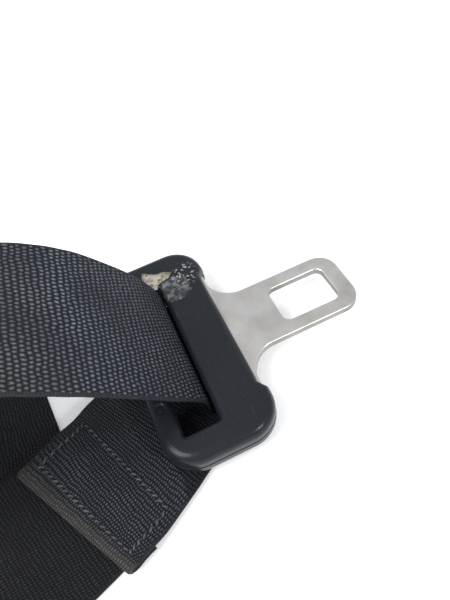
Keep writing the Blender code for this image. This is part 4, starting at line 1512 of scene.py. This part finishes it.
# ------------------------------------------------------------------------------ lap line
@dataclass
class LapRun:
    """The run from under the hem to the snap hook."""

    weave: bpy.types.Material
    thread: bpy.types.Material
    steel: bpy.types.Material
    zinc: bpy.types.Material
    spring: bpy.types.Material
    elastic: bpy.types.Material
    line: tuple = (-74.9, -35.0, 199.1)
    hook: tuple = (131.0, 5.9)
    loop: float = 4.55
    tilt: float = 0.8
    seam: float = 12.0
    shadow: float = 130.0           # the length that lies in the hem's shadow

    def route(self, coil: Coil) -> list[Vector]:
        """Lay out the webbing's route in the line's own frame.

        Args:
            coil: the roll in the middle of the run.

        Returns:
            The route's rows.
        """
        on_tail = SECOND_LAYER - self.tilt + 0.15
        start = [flat_station(-18.0, on_tail, -self.tilt, -3.6),
                 flat_station(0.0, on_tail, -self.tilt, -3.4),
                 flat_station(27.0, on_tail, -self.tilt, -3.0),
                 flat_station(38.0, 1.3, -self.tilt / 2, -1.6),
                 flat_station(48.0, 0.8, 0.0, -0.4), flat_station(56.0, FIRST_LAYER)]
        leave = coil.x + coil.radius
        x, z = self.hook
        end = [(leave + 4.5, 11.0), (leave + 8.5, 6.4), (x - 34, 3.6), (x - 29, 2.6), (x - 23, 2.4),
               (x - 17, 2.4), (x - 11, 3.3), (x - 6.2, 6.6)]
        end += arc(x, z, self.loop, 125, -90, 9)
        end += [(x - 6, 1.1), (x - 11, 0.8), (x - 17, FIRST_LAYER), (x - 25, FIRST_LAYER)]
        return coil.route(start, end)

    def build(self, frame: dict) -> None:
        """Make and dress the whole run.
        """
        place = frame_of(self.line)
        coil = Coil(68.0, 2.75)
        strap = Strap("lap_webbing_woven", self.route(coil))
        item = strap.build(place, soil=lambda *_: 0.4,
                           shade=lambda along, _: 0.84 if along < self.shadow else 0.4)
        dress(item, self.weave, Slot.WEBBING, "webbing", "lap_webbing")
        last = strap.length_at((self.hook[0] - 13.5, 0.0, 2.8))
        seam = Stitching(strap).box("hook_stitches", place, last - self.seam, last, zigzags=5)
        dress(seam, self.thread, Slot.THREAD, "webbing", "lap_hook_stitching")
        tie = coil.tie("lap_tie_elastic", place)
        dress(tie, self.elastic, Slot.TIE_RUBBER, "webbing", "lap_tie")
        for node, material in (("hook_body", self.steel), ("hook_gate", self.steel),
                               ("hook_gate_pin", self.zinc), ("hook_gate_spring", self.spring)):
            repaint(frame, node, material)


# ------------------------------------------------------------------------------ studio
@dataclass
class Studio:
    """The pale floor, the soft lights and the camera."""

    place: tuple = (-29.09, -97.19, 141.52)
    heading: float = 12.49
    pitch: float = -51.93
    roll: float = -14.11
    focal: float = 30.594
    sensor: float = 36.0
    key: tuple = ((-430.0, -60.0, 520.0), (-60.0, 0.0, 0.0), 420.0, 4.4)
    front: tuple = ((200.0, -420.0, 300.0), (-20.0, -20.0, 0.0), 85.0, 1.0)

    def floor(self) -> None:
        """Lay a pale matt floor."""
        shape = prism(rounded_box(-1500, 1500, -1500, 1500, 400), SURFACE_Z - 5, SURFACE_Z)
        item = mesh_object("floor", shape)
        drawing = Drawing("pale matt floor")
        cloud = drawing.add("TexNoise", {"Vector": drawing.place, "Scale": 3.0})
        tones = {0: cloud, 6: linear("f5f5f5"), 7: linear("f3f3f2")}
        colour = drawing.add("Mix", tones, out=2, data_type="RGBA")
        floor = drawing.finish(colour, 0.9, cloud, 0.01, Specular_IOR_Level=0.1, Emission_Strength=0.25)
        drawing.shader.inputs["Emission Color"].default_value = linear("ffffff")
        item.data.materials.append(floor)

    def lamp(self, name: str, place: tuple, aim: tuple, size: float, power: float) -> None:
        """Hang a square soft light.

        Args:
            name: the light's name.
            place: where it hangs, in millimetres.
            aim: the point that it looks at.
            size: its side in millimetres.
            power: its power in watts.
        """
        data = bpy.data.lights.new(name, "AREA")
        data.size = size * MM
        data.energy = power
        item = bpy.data.objects.new(name, data)
        item.location = Vector(place) * MM
        item.rotation_euler = (Vector(aim) - Vector(place)).to_track_quat("-Z", "Y").to_euler()
        bpy.context.scene.collection.objects.link(item)

    def sky(self) -> None:
        """Fill the shadows with an even pale sky."""
        world = bpy.data.worlds.new("studio")
        bpy.context.scene.world = world
        world.use_nodes = True
        background = world.node_tree.nodes["Background"]
        background.inputs["Color"].default_value = linear("f6f8fc")
        background.inputs["Strength"].default_value = 0.85

    def camera(self) -> None:
        """Set the camera from its place, heading, pitch and roll."""
        data = bpy.data.cameras.new("camera")
        data.sensor_fit = "VERTICAL"
        data.sensor_height = self.sensor
        data.lens = self.focal
        data.clip_start = 0.005
        item = bpy.data.objects.new("camera", data)
        turn = (Matrix.Rotation(math.radians(-self.heading), 4, "Z")
                @ Matrix.Rotation(math.radians(90 + self.pitch), 4, "X")
                @ Matrix.Rotation(math.radians(self.roll), 4, "Z"))
        item.matrix_world = Matrix.Translation(Vector(self.place) * MM) @ turn
        bpy.context.scene.collection.objects.link(item)
        bpy.context.scene.camera = item

    def build(self) -> None:
        """Set up the whole studio."""
        self.floor()
        self.sky()
        self.lamp("key", *self.key)
        self.lamp("front", *self.front)
        self.camera()
        bpy.context.scene.view_settings.view_transform = "Standard"


def main() -> None:
    """Build the studio and every sub-assembly."""
    logging.basicConfig(level=logging.INFO, format="%(message)s")
    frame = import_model()
    Studio().build()
    weave = PolyesterWebbing().build()
    thread = DullFibre("bonded polyester thread", "2b2d31", "53555a", 0.35, 0.08, 0.55).build()
    elastic = DullFibre("black elastic band", "121214", "26262a", 0.5, 0.12, 0.75, 1.1).build()
    polymer = DullFibre("black moulded liner", "101113", "202226").build()
    retainer = DullFibre("vulcanised fibre", "5c4a31", "8a7450", 0.7, 0.06, 0.8).build()
    steel = StampedSteel().build()
    fitting = StampedSteel("zinc-bright fitting steel", "bfbcb6", "9b978f", "5c5953", 0.34).build()
    zinc = PlatedSteel("yellow zinc plate", "c9bd92", "9d9170").build()
    bolt = PlatedSteel("yellow zinc plated thread", "c9bd92", "9d9170",
                       thread_mm=1.27, thread_from_mm=8.0).build()
    knurled = PlatedSteel("knurled blackened steel", "2b2b2e", "68666b", 0.45, knurl_mm=1.2).build()
    spring = PlatedSteel("blackened spring steel", "2b2b2e", "55545a", 0.4).build()
    sheared = StampedSteel("sheared steel edge", "9d9b98", "85827d", "55524d", 0.42).build()
    LatchTongue(steel, MouldedNylon().build(), TornNylon().build(), polymer, sheared).build(frame)
    LapRun(weave, thread, fitting, zinc, spring, elastic).build(frame)
    TongueWebbing(weave, thread).build()
    ShoulderRun(weave, thread, fitting, knurled, zinc, bolt, retainer, elastic).build(frame)


if __name__ == "__main__":
    main()
